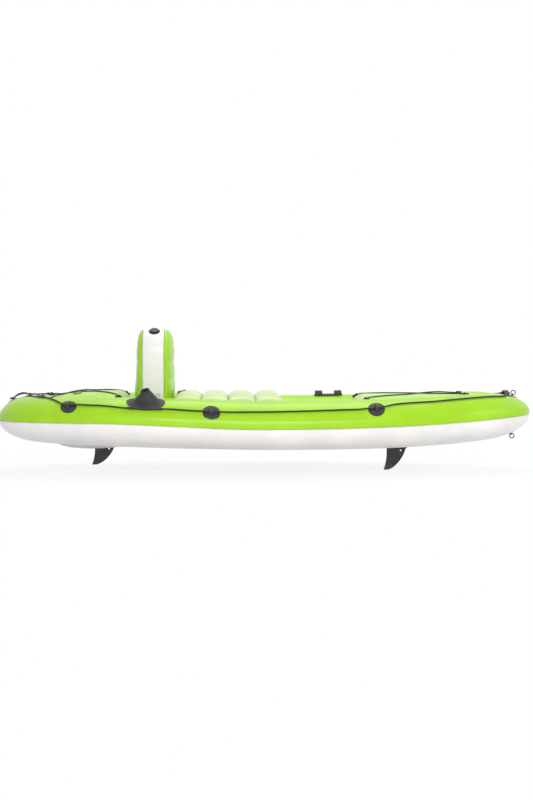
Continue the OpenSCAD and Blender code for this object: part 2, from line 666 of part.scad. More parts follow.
module bow_bungee_eyes() {
    color(BLACK) afloat() for (s = [0, 1]) mirror([0, s, 0]) {
        bungee_eye("bow_deck", bow_aft_eye);
        bungee_eye("bow_deck", bow_fore_eye);
    }
}

// ---- Lines: tubes swept along routes chosen by hand, [x, y, z] above the hull bottom

// a tube of the given diameter along points, with its frame carried from point to point
function tangent(p, i) = unit(p[min(i + 1, len(p) - 1)] - p[max(i - 1, 0)]);
module line(points, d, sides) {
    loft([for (i = [0:len(points) - 1]) let (
        t = tangent(points, i),
        b = unit(cross(t, [0, 0, 1])),
        n = cross(b, t))
        [for (k = [0:sides - 1]) let (a = 360 * k / sides)
            points[i] + (b * cos(a) + n * sin(a)) * d / 2]]);
}

line_sides = 8;
function mirrored(points) = [for (p = points) [p[0], -p[1], p[2]]];

// The grab line, stern to bow: station on the standard hull, angle up the tube's section, extra lift
rope_lift = rope_diameter / 2 + 1.5;
guide_lift = patch_seat + guide_thick + rope_diameter / 2 + 0.9 - rope_lift;
grab_aft = [[-1190, 96, 5], [-1176, 94, 1], [-1150, 88, 0], [-1115, 82, 0], [-1075, 76, 0], [-1040, 65, 0],
    [-1010, 53, 2.4], [-985, 46, 3], [-963, 43, guide_lift], [-938, 45, 3], [-918, 45.5, 2.6],
    [-890, 46, 0.4], [-860, 45, 0],
    [-810, 44, 0], [-750, 41, 0]];
grab_fore = [[-430, 37, 0], [-370, 36, 0], [-315, 35, 2.8], [-275, 34, guide_lift], [-235, 35, 2.8],
    [-185, 36, 0], [-120, 37, 0],
    [0, 38, 0], [120, 39, 0], [240, 40, 0], [360, 41, 0], [430, 41, 0], [480, 42, 2.8], [519, 42, guide_lift],
    [559, 45, 2.8], [605, 51, 0], [650, 53, 0], [720, 54, 0], [800, 54, 0], [880, 55.5, 0], [960, 57.5, 0],
    [1030, 59, 0], [1090, 60, 0], [1140, 62, 0], [1175, 63, 0], [1200, 62, 1], [1215, 60, 3]];
function on_side(list) = [for (q = list) on_surface("side", along(q[0]), q[1], rope_lift + q[2])];
grab_route = concat(on_side(grab_aft), rod_tunnel_points, on_side(grab_fore));
module grab_line_port() { color(BLACK) afloat() line(grab_route, rope_diameter, line_sides); }
module grab_line_starboard() { color(BLACK) afloat() line(mirrored(grab_route), rope_diameter, line_sides); }

// Crossed elastic cords: plan points from a rear eye to the opposite front eye, and lift above the deck
bungee_lift = patch_seat + 2.5 + bungee_diameter / 2 + 0.9;
stern_bungee_plan = [[-1132, 186], [-1112, 172], [-1085, 145], [-1055, 113], [-1020, 76], [-985, 38],
    [-950, 2], [-915, -36], [-875, -79], [-835, -124], [-790, -178], [-758, -218], [-745, -233], [-732, -248], [-718, -262]];
bow_bungee_plan = [[470, 260], [487, 248], [503, 237], [520, 226], [580, 186], [640, 145], [710, 97], [780, 49],
    [852, 0], [900, -32], [945, -62], [975, -82], [1000, -98], [1016, -109]];
// one cord of each pair passes over the other where they cross on the middle line
crossing_lift = bungee_diameter + 1;
crossing_run = 75;
function cover_z(f, x, y) = abs(y) < deck_rim_y(f, x) ? max(deck_z(f, x, y), tube_z(x, y)) : tube_z(x, y);
// on a slope the cord is lifted further, so that it stays as far from the skin
function cover_slope(f, x, y) = norm([1, (cover_z(f, x + 1, y) - cover_z(f, x - 1, y)) / 2,
    (cover_z(f, x, y + 1) - cover_z(f, x, y - 1)) / 2]);
function on_deck(f, list, over) = [for (q = list) let (p = deck_plan(f, q))
    [p[0], p[1], cover_z(f, p[0], p[1]) + bungee_lift * min(1.3, cover_slope(f, p[0], p[1]))
        + (over ? crossing_lift * ease(1.2 - abs(p[1]) / crossing_run) : 0)]];
module stern_bungee_a() { color(BLACK) afloat() line(on_deck("stern_deck", stern_bungee_plan, false), bungee_diameter, line_sides); }
module stern_bungee_b() { color(BLACK) afloat() line(mirrored(on_deck("stern_deck", stern_bungee_plan, true)), bungee_diameter, line_sides); }
module bow_bungee_a() { color(BLACK) afloat() line(on_deck("bow_deck", bow_bungee_plan, false), bungee_diameter, line_sides); }
module bow_bungee_b() { color(BLACK) afloat() line(mirrored(on_deck("bow_deck", bow_bungee_plan, true)), bungee_diameter, line_sides); }

// ---- Handles, paddle rest and rings

module strap(xa, za, xb, zb, rise, thick, wide) {
    steps = 14;
    function at(t) = [mix(xa, xb, t), mix(za, zb, t) + rise * pow(sin(180 * t), 0.75)];
    function normal(t) = let (p = at(clamp(t + 0.01, 0, 1)) - at(clamp(t - 0.01, 0, 1))) [-p[1], p[0]] / norm(p);
    rotate([90, 0, 0]) translate([0, 0, -wide / 2]) linear_extrude(wide) polygon(concat(
        [for (i = [0:steps]) at(i / steps) + normal(i / steps) * thick / 2],
        [for (i = [steps:-1:0]) at(i / steps) - normal(i / steps) * thick / 2]));
}

// Stern handle: two patches on the middle line and a moulded grip arched between them
handle_thick = 7;
handle_wide = 26;
stern_handle_aft_x = 62 - half_l;
stern_handle_fore_x = 150 - half_l;
stern_handle_rise = 18;
module stern_handle() {
    foot = patch_seat + 2.5;
    color(BLACK) afloat() {
        for (x = [stern_handle_aft_x, stern_handle_fore_x]) patch("tube", x, 0, 24, 30, 3, 20);
        za = tube_z(stern_handle_aft_x, 0) + foot + handle_thick / 2;
        zb = tube_z(stern_handle_fore_x, 0) + foot + handle_thick / 2;
        strap(stern_handle_aft_x, za, stern_handle_fore_x, zb, stern_handle_rise, handle_thick, handle_wide);
    }
}
// Bow handle: the same grip set across the bow
bow_handle_x = half_l - 122;
bow_handle_half = 52;
bow_handle_rise = 13;
module bow_handle() {
    z = tube_z(bow_handle_x, bow_handle_half) + patch_seat + 2.5 + handle_thick / 2;
    color(BLACK) afloat() {
        for (s = [0, 1]) mirror([0, s, 0]) patch("tube", bow_handle_x, bow_handle_half, 22, 24, 3, 20);
        translate([bow_handle_x, 0, 0]) rotate(90)
            strap(-bow_handle_half, z, bow_handle_half, z, bow_handle_rise, handle_thick, handle_wide);
    }
}

// Paddle rest on the port tube: a base strip with a saddle block at each end
paddle_rest_at = 341;
paddle_rest_x = along(paddle_rest_at);
paddle_rest_angle = 98;
paddle_saddle_r = 17;
paddle_block = 38;
module paddle_rest() {
    color(BLACK) afloat() {
        patch("side", paddle_rest_x, paddle_rest_angle, paddle_rest_length / 2, 26, 5, 28);
        for (s = [-1, 1])
            seated("side", paddle_rest_x + s * (paddle_rest_length - paddle_block - 12) / 2, paddle_rest_angle, 4)
                rotate([90, 0, 90]) translate([0, 0, -paddle_block / 2]) linear_extrude(paddle_block)
                    difference() {
                        polygon([[-22, 0], [22, 0], [20, 15], [15, 19], [-15, 19], [-20, 15]]);
                        translate([0, 26]) circle(r = paddle_saddle_r, $fn = 48);
                    }
    }
}

// A welded patch with a webbing loop, and the ring that swings in it about the hull's long axis
ring_loop_r = ring_wire_r + 0.8;
ring_loop_wall = 2.5;
ring_loop_wide = 6;
ring_height = patch_seat + 2 + ring_loop_r + ring_loop_wall;
module ring_patch(f, x) {
    patch(f, x, 0, 26, 26, 2.5, 20);
    seated(f, x, 0, ring_height) rotate([0, 90, 0])
        difference() {
            cylinder(r = ring_loop_r + ring_loop_wall, h = ring_loop_wide, center = true, $fn = 32);
            cylinder(r = ring_loop_r, h = ring_loop_wide + 2, center = true, $fn = 32);
        }
}
module ring_at(f, x) {
    seated(f, x, 0, ring_height) translate([0, 0, ring_r]) rotate([90, 0, 0])
            rotate_extrude($fn = 64) translate([ring_r, 0]) circle(r = ring_wire_r, $fn = 24);
}
bow_ring_x = half_l - 88;
tow_ring_x = half_l - 95;
module bow_ring_patch() { color(BLACK) afloat() ring_patch("tube", bow_ring_x); }
module bow_ring() { color(DARK_GREY) afloat() ring_at("tube", bow_ring_x); }
module tow_ring_patch() { color(BLACK) afloat() ring_patch("under", tow_ring_x); }
module tow_ring() { color(DARK_GREY) afloat() ring_at("under", tow_ring_x); }

// ---- Fins: a T flange slides forward out of a box on the bottom

fin_flange_w = 32;
fin_flange_t = 5;
fin_lip = 6;
fin_slide_gap = 0.4;
fin_stop = 8;
fin_tab = 14;
box_before = 12;
function fin_box_low(x) = bottom_z(x + fin_chord / 2) - fin_box_depth;
keel_drop = front_fin_depth - fin_box_low(front_fin_x);

module fin_box(x) {
    low = fin_box_low(x);
    start = x - box_before;
    length = fin_chord + box_before + 4;
    steps = 8;
    channel_h = fin_flange_t + 2 * fin_slide_gap;
    difference() {
        translate([0, fin_box_width / 2, 0]) rotate([90, 0, 0]) linear_extrude(fin_box_width) polygon(concat(
            [[start, low], [start + length, low]],
            [for (i = [steps:-1:0]) let (px = start + length * i / steps) [px, bottom_z(px) - seat_gap]]));
        translate([start + fin_stop, -fin_flange_w / 2 - fin_slide_gap, low + fin_lip])
            cube([length, fin_flange_w + 2 * fin_slide_gap, channel_h]);
        translate([start + fin_stop, -fin_thick / 2 - fin_slide_gap, low - 1])
            cube([length, fin_thick + 2 * fin_slide_gap, fin_lip + 2]);
    }
}
// Leading and trailing edges and thickness at share s of the depth
function lead_edge(s) = fin_chord * pow(1 - pow(s, 1.4), 0.6);
function trail_edge(s) = 2 * s - 18 * pow(s, 2.4);
module fin_blade(depth) {
    shares = [0, 0.12, 0.25, 0.38, 0.5, 0.62, 0.73, 0.82, 0.9, 0.96, 0.99];
    foil = [[0, 0.12], [0.2, 0.75], [0.45, 1], [0.72, 0.86], [0.9, 0.5], [1, 0.12]];
    function rib(s) = let (a = trail_edge(s), b = lead_edge(s), t = fin_thick / 2 * (1 - 0.55 * s))
        concat([for (p = foil) [mix(a, b, p[0]), t * p[1], -depth * s]],
            [for (i = [len(foil) - 1:-1:0]) [mix(a, b, foil[i][0]), -t * foil[i][1], -depth * s]]);
    loft(backwards([for (s = shares) rib(s)]));
}
module fin(x, depth) {
    low = fin_box_low(x);
    under_box = low - fin_slide_gap;
    length = fin_chord + fin_tab;
    translate([x, 0, 0]) difference() {
        union() {
            translate([0, 0, under_box]) fin_blade(depth - fin_slide_gap);
            translate([0, -fin_thick / 2, under_box - 0.5]) cube([fin_chord - 6, fin_thick, fin_lip + fin_slide_gap + 3]);
            translate([-box_before + fin_stop + fin_slide_gap, -fin_flange_w / 2, low + fin_lip + fin_slide_gap])
                cube([length + box_before - fin_stop, fin_flange_w, fin_flange_t]);
        }
        translate([fin_chord - 26, 0, under_box - 12]) rotate([90, 0, 0])
            cylinder(r = 4, h = fin_thick + 4, center = true, $fn = 24);
    }
}
module front_fin_box() { color(BLACK) afloat() fin_box(front_fin_x); }
module rear_fin_box() { color(BLACK) afloat() fin_box(rear_fin_x); }
module front_fin() { color(DARK_GREY) afloat() fin(front_fin_x, front_fin_depth); }
module rear_fin() { color(DARK_GREY) afloat() fin(rear_fin_x, rear_fin_depth); }

bottom_skin();
seam_flange();
port_tube();
starboard_tube();
cockpit_floor();
seat_pillow(0);  // seat_pillow_1
seat_pillow(1);  // seat_pillow_2
seat_pillow(2);  // seat_pillow_3
seat_pillow(3);  // seat_pillow_4
stern_deck();
bow_deck();
stern_keel_ridges();
backrest_border();
backrest_front_panel();
backrest_rear_panel();
backrest_side_tabs();
backrest_valve();
backrest_valve_cap();
port_valve();
port_valve_cap();
starboard_valve();
starboard_valve_cap();
seat_valve();
seat_valve_cap();
rod_holder_port();
rod_holder_starboard();
rope_guides_port();
rope_guides_starboard();
stern_bungee_eyes();
bow_bungee_eyes();
grab_line_port();
grab_line_starboard();
stern_bungee_a();
stern_bungee_b();
bow_bungee_a();
bow_bungee_b();
stern_handle();
bow_handle();
paddle_rest();
bow_ring_patch();
bow_ring();
tow_ring_patch();
tow_ring();
front_fin_box();
front_fin();
rear_fin_box();
rear_fin();
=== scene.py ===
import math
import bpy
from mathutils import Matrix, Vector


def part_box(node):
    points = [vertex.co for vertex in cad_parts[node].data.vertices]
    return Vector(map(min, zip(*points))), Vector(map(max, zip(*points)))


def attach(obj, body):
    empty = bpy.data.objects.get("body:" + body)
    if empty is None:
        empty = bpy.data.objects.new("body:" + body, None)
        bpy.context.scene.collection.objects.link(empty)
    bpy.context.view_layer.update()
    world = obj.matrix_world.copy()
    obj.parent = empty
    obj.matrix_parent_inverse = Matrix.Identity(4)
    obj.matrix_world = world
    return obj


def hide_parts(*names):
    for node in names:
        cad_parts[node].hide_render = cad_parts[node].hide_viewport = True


bl_info = {
    "name": "Inflatable Kayak Dresser",
    "version": (1, 0, 0),
    "blender": (4, 5, 0),
    "location": "View3D > Sidebar > Kayak",
    "description": "Dresses the packed kayak with air-filled skins, lines, fittings, materials "
                   "and a studio",
    "category": "Object",
}

import bmesh
import bpy
import numpy as np
from bpy.props import FloatProperty, FloatVectorProperty, IntProperty, PointerProperty
from mathutils import Matrix, Vector

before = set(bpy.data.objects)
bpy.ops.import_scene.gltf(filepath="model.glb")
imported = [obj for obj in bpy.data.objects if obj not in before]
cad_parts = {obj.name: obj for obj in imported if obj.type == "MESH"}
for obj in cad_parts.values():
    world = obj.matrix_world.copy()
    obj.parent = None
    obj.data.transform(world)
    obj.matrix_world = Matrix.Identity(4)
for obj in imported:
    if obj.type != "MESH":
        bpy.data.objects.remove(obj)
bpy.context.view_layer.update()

# ---- lines of the hull, in metres
# The same sizes and rules as the part's source, so that every skin lies where its solid does.

MM = 0.001
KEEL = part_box("bottom_skin")[0][2]
HALF_L = 1.35
HALF_W = 0.5
WIDEST_X = -0.1
FLANGE_OUT = 0.003
FULL_BOW = 2.05
FULL_STERN = 2.6
SEAM_Z = 0.11
SEAM_RISE_BOW = 0.052
SEAM_RISE_STERN = 0.027
ROCKER_BOW = 0.058
ROCKER_STERN = 0.034
BILGE = 0.2
TUBE_W = 0.28
TUBE_H = 0.132
TUBE_H_STERN = 0.115
TUBE_H_BOW = 0.124
TUBE_H_NOSE = 0.1
FLOOR_H = 0.04
SEAM_GAP = 0.002
SOFT_GAP = 0.003
DECK_RIM = 0.92
CENTRE_GAP = 0.00015
RIM_Y = HALF_W - FLANGE_OUT
BOW_L = HALF_L - WIDEST_X - FLANGE_OUT
STERN_L = HALF_L + WIDEST_X - FLANGE_OUT


def ease(t):
    t = np.clip(t, 0.0, 1.0)
    return t * t * (3 - 2 * t)


def mix(a, b, t):
    return a + (b - a) * t


def seam_z(x):
    x = np.asarray(x, float)
    bow = SEAM_RISE_BOW * np.power(np.maximum(x, 0) / HALF_L, 2.2)
    return SEAM_Z + np.where(x > 0, bow, SEAM_RISE_STERN * ease(-x / 0.85))


def tube_h(x):
    x = np.asarray(x, float)
    bow = mix(TUBE_H, TUBE_H_BOW, ease((x - 0.85) / 0.35))
    bow = mix(bow, TUBE_H_NOSE, ease((x - 1.08) / 0.22))
    return np.where(x > 0, bow, mix(TUBE_H, TUBE_H_STERN, ease((-x - 0.3) / 0.8)))


def bottom_z(x):
    x = np.asarray(x, float)
    bow = ROCKER_BOW * np.power(np.maximum(x - 0.25, 0) / (HALF_L - 0.25), 2.3)
    stern = ROCKER_STERN * np.power(np.maximum(-x, 0) / HALF_L, 1.3)
    return np.where(x > 0.25, bow, np.where(x < 0, stern, 0))


def rim(inset, angle):
    """Plan point of the rim moved in by inset, at an angle from 0 at the bow to pi aft."""
    c, s = np.cos(angle), np.abs(np.sin(angle))
    n = np.where(c >= 0, FULL_BOW, FULL_STERN)
    reach = np.where(c >= 0, BOW_L, STERN_L) - inset
    x = WIDEST_X + np.sign(c) * reach * np.power(np.abs(c), 2 / n)
    return x, (RIM_Y - inset) * np.power(s, 2 / n)


def rim_y(inset, x):
    u = np.asarray(x, float) - WIDEST_X
    n = np.where(u >= 0, FULL_BOW, FULL_STERN)
    t = np.clip(np.abs(u) / (np.where(u >= 0, BOW_L, STERN_L) - inset), 0, 1)
    return (RIM_Y - inset) * np.power(1 - np.power(t, n), 1 / n)


def inset_at(x, y):
    low, high = np.zeros(np.shape(x)), np.full(np.shape(x), TUBE_W)
    for _ in range(24):
        mid = (low + high) / 2
        wide = rim_y(mid, x) > np.abs(y)
        low, high = np.where(wide, mid, low), np.where(wide, high, mid)
    return (low + high) / 2


def arc(t):
    return np.sqrt(np.maximum(0, 1 - t * t))


def tube_z(x, y):
    return seam_z(x) + tube_h(x) * arc(1 - 2 * inset_at(x, y) / TUBE_W)


def inner_y(x, z):
    t = np.clip((z - seam_z(x)) / tube_h(x), 0, 1)
    return rim_y(TUBE_W / 2 * (1 + arc(t)), x)


def floor_z(x):
    return seam_z(x) + FLOOR_H


def xyz(x, y, z):
    """Points from their coordinates, each spread over the shape of the others."""
    return np.stack(np.broadcast_arrays(x, y, z), axis=-1)


def side_point(x, angle):
    inset = TUBE_W / 2 * (1 - np.cos(angle))
    return xyz(x, rim_y(inset, x), seam_z(x) + tube_h(x) * np.sin(angle))


def on_side(x, degrees, lift):
    return on_skin("side", np.asarray(x, float), np.radians(degrees), lift)


def waves(x, *terms):
    """A fixed sum of sines, used wherever cloth puckers unevenly: (length, phase, weight) each."""
    return sum(w * np.sin(2 * math.pi * x / length + phase) for length, phase, w in terms)


# ---- decks and pillows

SEAT_X = -0.462
PITCH = 0.134
PILLOW_TOP = 0.275
PILLOW_DROP = 0.016
PILLOW_GAP = 0.0003
DECKS = {"stern_deck": (-1.165, -0.702), "bow_deck": (0.455, 1.12)}
for count in range(4):
    DECKS[f"seat_pillow_{count + 1}"] = (SEAT_X + PITCH * count + PILLOW_GAP,
                                         SEAT_X + PITCH * (count + 1) - PILLOW_GAP)
DECK_ROLL = 0.055
DECK_END_ROOM = 0.012
STERN_TIP = -1.136
TIP_ROUND = 0.016
DECK_ROLL_ROOM = 0.007


def deck_line(name, x):
    low, high = DECKS[name]
    if name == "stern_deck":
        return mix(0.247, 0.275, ease((x - low) / (0.7 * (high - low))))
    if name == "bow_deck":
        return 0.255 + 0.004 * ease((x - low) / 0.6)
    off = np.abs(2 * (x - (low + high) / 2) / (high - low))
    return PILLOW_TOP - PILLOW_DROP * np.power(off, 2.4)


def deck_share(name, x):
    low, high = DECKS[name]
    pillow = name.startswith("seat")
    t = np.clip(np.minimum(x - low, high - x) / ((0.2 if pillow else 1) * DECK_ROLL), 0, 1)
    return mix(0.8 if pillow else 0.35, 1, arc(1 - t))


def pocket_x(name, x):
    """Station where the wall is measured: a little nearer the tip, to clear the pocket's end."""
    return x + {"stern_deck": -DECK_END_ROOM, "bow_deck": DECK_END_ROOM}.get(name, 0)


def wall_y(name, x, z):
    room = SOFT_GAP + DECK_ROLL_ROOM * (1 - deck_share(name, x))
    return np.maximum(0.001, inner_y(pocket_x(name, x), z) - room)


def deck_base(name, x):
    return np.maximum(floor_z(x), tube_z(pocket_x(name, x), 0 * x)) + 0.0008


def deck_top(name, x):
    base = deck_base(name, x)
    return np.maximum(base + 0.003, mix(base, deck_line(name, x), deck_share(name, x)))


def deck_rim_z(name, x):
    wanted = seam_z(x) + DECK_RIM * tube_h(x) * mix(0.8, 1, deck_share(name, x))
    return np.maximum(deck_base(name, x) + 0.001, np.minimum(wanted, deck_top(name, x) - 0.0015))


def deck_rim_y(name, x):
    return wall_y(name, x, deck_rim_z(name, x))


def deck_z(name, x, y):
    c = np.power(np.minimum(1, np.abs(y) / deck_rim_y(name, x)), 2)
    return mix(deck_rim_z(name, x), deck_top(name, x), arc(c))


# ---- meshes

def new_piece(name, mesh):
    piece = bpy.data.objects.new(name, mesh)
    bpy.context.scene.collection.objects.link(piece)
    return piece


def smooth(mesh):
    mesh.polygons.foreach_set("use_smooth", [True] * len(mesh.polygons))


def baked(piece):
    """The piece's mesh with its modifiers worked out; the piece itself is taken away."""
    graph = bpy.context.evaluated_depsgraph_get()
    mesh = bpy.data.meshes.new_from_object(piece.evaluated_get(graph))
    bpy.data.objects.remove(piece)
    return mesh


def points_of(mesh):
    co = np.empty(len(mesh.vertices) * 3)
    mesh.vertices.foreach_get("co", co)
    return co.reshape(-1, 3)


def clean(mesh):
    """Merges doubles and points every face outwards."""
    work = bmesh.new()
    work.from_mesh(mesh)
    bmesh.ops.remove_doubles(work, verts=work.verts, dist=1e-5)
    bmesh.ops.dissolve_degenerate(work, edges=work.edges, dist=1e-7)
    bmesh.ops.recalc_face_normals(work, faces=work.faces)
    work.to_mesh(mesh)
    work.free()
    smooth(mesh)


def run_of(points):
    """Distance along a row of points, from 0 at the first."""
    return np.concatenate([[0], np.cumsum(np.linalg.norm(np.diff(points, axis=0), axis=1))])


def sheet_mesh(name, rows, close_u=False, close_v=True, caps=True):
    """A mesh through a grid of points [u][v], with a UV map in metres along and across.

    close_v joins each row round and close_u joins the last row to the first. caps fills the first
    and last rows, by one face or, for bent rows, by "strips" from side to side."""
    rows = np.asarray(rows, float)
    n, m = rows.shape[:2]
    faces = []
    for i in range(n if close_u else n - 1):
        for j in range(m if close_v else m - 1):
            k, h = (j + 1) % m, (i + 1) % n
            faces.append((i * m + j, i * m + k, h * m + k, h * m + j))
    if caps == "strips":
        for row in (0, (n - 1) * m):
            for j in range(m // 2 - 1):
                faces.append(tuple(row + v for v in (j, j + 1, m - 2 - j, m - 1 - j)))
            faces.append(tuple(row + v for v in range(m // 2 - 1, m // 2 + 2)))
    elif caps:
        faces.append(tuple(range(m - 1, -1, -1)))
        faces.append(tuple((n - 1) * m + j for j in range(m)))
    mesh = bpy.data.meshes.new(name)
    mesh.from_pydata([tuple(p) for p in rows.reshape(-1, 3)], [], faces)
    along, across = run_of(rows.mean(axis=1)), run_of(rows[n // 2])
    layer = mesh.uv_layers.new(name="UVMap")
    index = np.empty(len(mesh.loops), int)
    mesh.loops.foreach_get("vertex_index", index)
    uv = np.stack([along[index // m], across[index % m]], axis=-1)
    layer.data.foreach_set("uv", uv.ravel())
    clean(mesh)
    return mesh


def mirrored(rows):
    rows = np.array(rows, float)
    rows[..., 1] *= -1
    return rows


def afloat(rows):
    rows = np.array(rows, float)
    rows[..., 2] += KEEL
    return rows


def tube_rows(points, radius, sides):
    """Rings of a tube along points, carried without spinning; radius may be one per point."""
    points = np.asarray(points, float)
    tangents = np.gradient(points, axis=0)
    tangents /= np.linalg.norm(tangents, axis=1, keepdims=True)
    side = np.cross(tangents[0], (0, 0, 1))
    if np.linalg.norm(side) < 1e-4:
        side = np.array((0.0, 1.0, 0.0))
    radius = np.broadcast_to(radius, (len(points),))
    rows, angles = [], np.linspace(0, 2 * math.pi, sides, endpoint=False)
    for p, t, r in zip(points, tangents, radius):
        side = side - t * np.dot(side, t)
        side /= np.linalg.norm(side)
        up = np.cross(side, t)
        rows.append(p + r * (np.outer(np.cos(angles), side) + np.outer(np.sin(angles), up)))
    return np.array(rows)


def spline(points, per):
    """A Catmull-Rom curve through points."""
    p = np.asarray(points, float)
    p = np.vstack([2 * p[0] - p[1], p, 2 * p[-1] - p[-2]])
    out = []
    for i in range(1, len(p) - 2):
        a, b, c, d = p[i - 1], p[i], p[i + 1], p[i + 2]
        for t in np.linspace(0, 1, per, endpoint=False):
            square, cube = 2 * a - 5 * b + 4 * c - d, 3 * b - a - 3 * c + d
            out.append(0.5 * (2 * b + (c - a) * t + square * t * t + cube * t ** 3))
    out.append(p[-2])
    return np.array(out)


def merged(name, meshes):
    """One mesh from several."""
    work = bmesh.new()
    for mesh in meshes:
        work.from_mesh(mesh)
    out = bpy.data.meshes.new(name)
    work.to_mesh(out)
    work.free()
    smooth(out)
    return out


def revolve(name, profile, steps, place):
    """A closed solid turned about Z through [radius, height] points."""
    angles = np.linspace(0, 2 * math.pi, steps, endpoint=False)
    rows = np.array([[(r * math.cos(a), r * math.sin(a), z) for r, z in profile] for a in angles])
    mesh = sheet_mesh(name, rows, close_u=True, close_v=False, caps=False)
    mesh.transform(place)
    return mesh


# ---- shader expressions

def maths(operation, swapped=False):
    """An operator of Node that adds one Math node, for x - y or with swapped for y - x."""
    def apply(self, other):
        pair = (other, self) if swapped else (self, other)
        return self.shop.node("ShaderNodeMath", {"operation": operation}, dict(enumerate(pair)))
    return apply


class Node:
    """A socket in a material, with the operators that build shader maths from it."""

    def __init__(self, shop, socket):
        self.shop = shop
        self.socket = socket

    __add__ = __radd__ = maths("ADD")
    __mul__ = __rmul__ = maths("MULTIPLY")
    __sub__ = maths("SUBTRACT")
    __rsub__ = maths("SUBTRACT", swapped=True)
    most = maths("MAXIMUM")

    def sine(self):
        return self.shop.node("ShaderNodeMath", {"operation": "SINE"}, {0: self})

    def between(self, low, high):
        return self.shop.node("ShaderNodeMapRange", {"interpolation_type": "SMOOTHSTEP"},
                              {"Value": self, "From Min": low, "From Max": high})


class Nodes:
    """One node tree; node() adds any node from its type, its settings and its sockets."""

    def __init__(self, owner):
        owner.use_nodes = True
        self.tree = owner.node_tree

    def node(self, kind, settings=None, sockets=None, output=0):
        made = self.tree.nodes.new(kind)
        for key, value in (settings or {}).items():
            setattr(made, key, value)
        for key, value in (sockets or {}).items():
            self.put(made.inputs[key], value)
        return Node(self, made.outputs[output])

    def put(self, socket, value):
        if isinstance(value, Node):
            self.tree.links.new(value.socket, socket)
        elif isinstance(value, (int, float)) and hasattr(socket.default_value, "__len__"):
            socket.default_value = [value] * len(socket.default_value)
        else:
            socket.default_value = value

    def seen(self):
        """1 on rays from the camera, and on those that a glossy or a clear surface sends on."""
        path = self.tree.nodes.new("ShaderNodeLightPath")
        camera, glossy, clear = (Node(self, path.outputs[f"Is {kind} Ray"])
                                 for kind in ("Camera", "Glossy", "Transmission"))
        return camera.most(glossy).most(clear)


class Finish(Nodes):
    """Builds one material."""

    def __init__(self, name):
        self.material = bpy.data.materials.new(name)
        super().__init__(self.material)
        self.shader = self.tree.nodes["Principled BSDF"]
        self.coords = self.tree.nodes.new("ShaderNodeTexCoord")

    def place(self, scale=(1, 1, 1)):
        coords = Node(self, self.coords.outputs["Object"])
        return self.node("ShaderNodeMapping", None, {"Vector": coords, "Scale": scale})

    def axis(self, letter, space="Object"):
        coords = Node(self, self.coords.outputs[space])
        return self.node("ShaderNodeSeparateXYZ", None, {0: coords}, output="XYZ".index(letter))

    def noise(self, scale, detail=2.0, rough=0.5, where=None):
        return self.node("ShaderNodeTexNoise", None, {
            "Vector": where or self.place(), "Scale": scale, "Detail": detail, "Roughness": rough})

    def blend(self, factor, a, b):
        return self.node("ShaderNodeMix", {"data_type": "RGBA"}, {0: factor, 6: a, 7: b}, output=2)

    def bump(self, height, strength, distance, under=None):
        sockets = {"Height": height, "Strength": strength, "Distance": distance}
        if under is not None:
            sockets["Normal"] = under
        return self.node("ShaderNodeBump", None, sockets)

    def set(self, **values):
        for key, value in values.items():
            self.put(self.shader.inputs[key.replace("_", " ")], value)
        return self.material


def linear(r, g, b):
    """An 8-bit screen colour as a linear one."""
    def one(v):
        v /= 255
        return v / 12.92 if v <= 0.04045 else ((v + 0.055) / 1.055) ** 2.4
    return (one(r), one(g), one(b), 1.0)


def shade(colour, factor):
    return tuple(c * factor for c in colour[:3]) + (1.0,)


def made_once(build):
    """Keeps each material by its name, so that pieces share it."""
    made = {}

    def get(name, *rest, **named):
        if name not in made:
            made[name] = build(name, *rest, **named)
        return made[name]
    return get


@made_once
def coated_fabric(name, colour, gloss=0.25, tired=0.9):
    """Vinyl on a fine cloth: a faint weave under a smooth coat, uneven gloss, slight scuffs."""
    f = Finish(name)
    fine_x, fine_z, fine_y = f.axis("X") * 5200.0, f.axis("Z") * 5200.0, f.axis("Y") * 3600.0
    weave = (fine_x + fine_y).sine() * (fine_z - fine_y).sine()
    cloudy = f.noise(6.0, 3.0, 0.55)
    fine = f.noise(340.0, 2.0, 0.6)
    scuff = f.noise(48.0, 6.0, 0.7).between(0.62, 0.8)
    colour_a = f.blend(cloudy.between(0.3, 0.7), shade(colour, 0.94), shade(colour, 1.03))
    base = f.blend(scuff * 0.25, colour_a, shade(colour, tired))
    rough = gloss + cloudy * 0.08 + scuff * 0.14 + fine * 0.04
    normal = f.bump(weave, 0.10, 0.0004)
    normal = f.bump(fine, 0.10, 0.0006, normal)
    normal = f.bump(f.noise(19.0, 2.0, 0.5), 0.22, 0.0022, normal)
    return f.set(Base_Color=base, Roughness=rough, Normal=normal, IOR=1.5,
                 Specular_IOR_Level=0.32, Coat_Weight=0.06, Coat_Roughness=0.15)


@made_once
def moulded(name, colour, rough=0.5, grain=900.0, depth=0.0003, wear=1.35):
    """Moulded rubber or plastic: fine grain, rubbed lighter patches."""
    f = Finish(name)
    texture = f.noise(grain, 3.0, 0.6)
    cloudy = f.noise(22.0, 4.0, 0.6)
    rubbed = f.noise(75.0, 6.0, 0.72).between(0.58, 0.8)
    base = f.blend(cloudy, shade(colour, 0.85), shade(colour, 1.12))
    base = f.blend(rubbed * 0.35, base, shade(colour, wear))
    normal = f.bump(texture, 0.35, depth)
    return f.set(Base_Color=base, Roughness=rough + cloudy * 0.12 - rubbed * 0.06, Normal=normal)


@made_once
def metal(name, colour):
    f = Finish(name)
    brushed = f.noise(90.0, 4.0, 0.6, f.place((1, 1, 14)))
    pits = f.noise(1500.0, 2.0, 0.5)
    base = f.blend(brushed, shade(colour, 0.8), shade(colour, 1.15))
    return f.set(Base_Color=base, Roughness=0.26 + brushed * 0.14, Metallic=0.9,
                 Normal=f.bump(pits, 0.1, 0.0001))


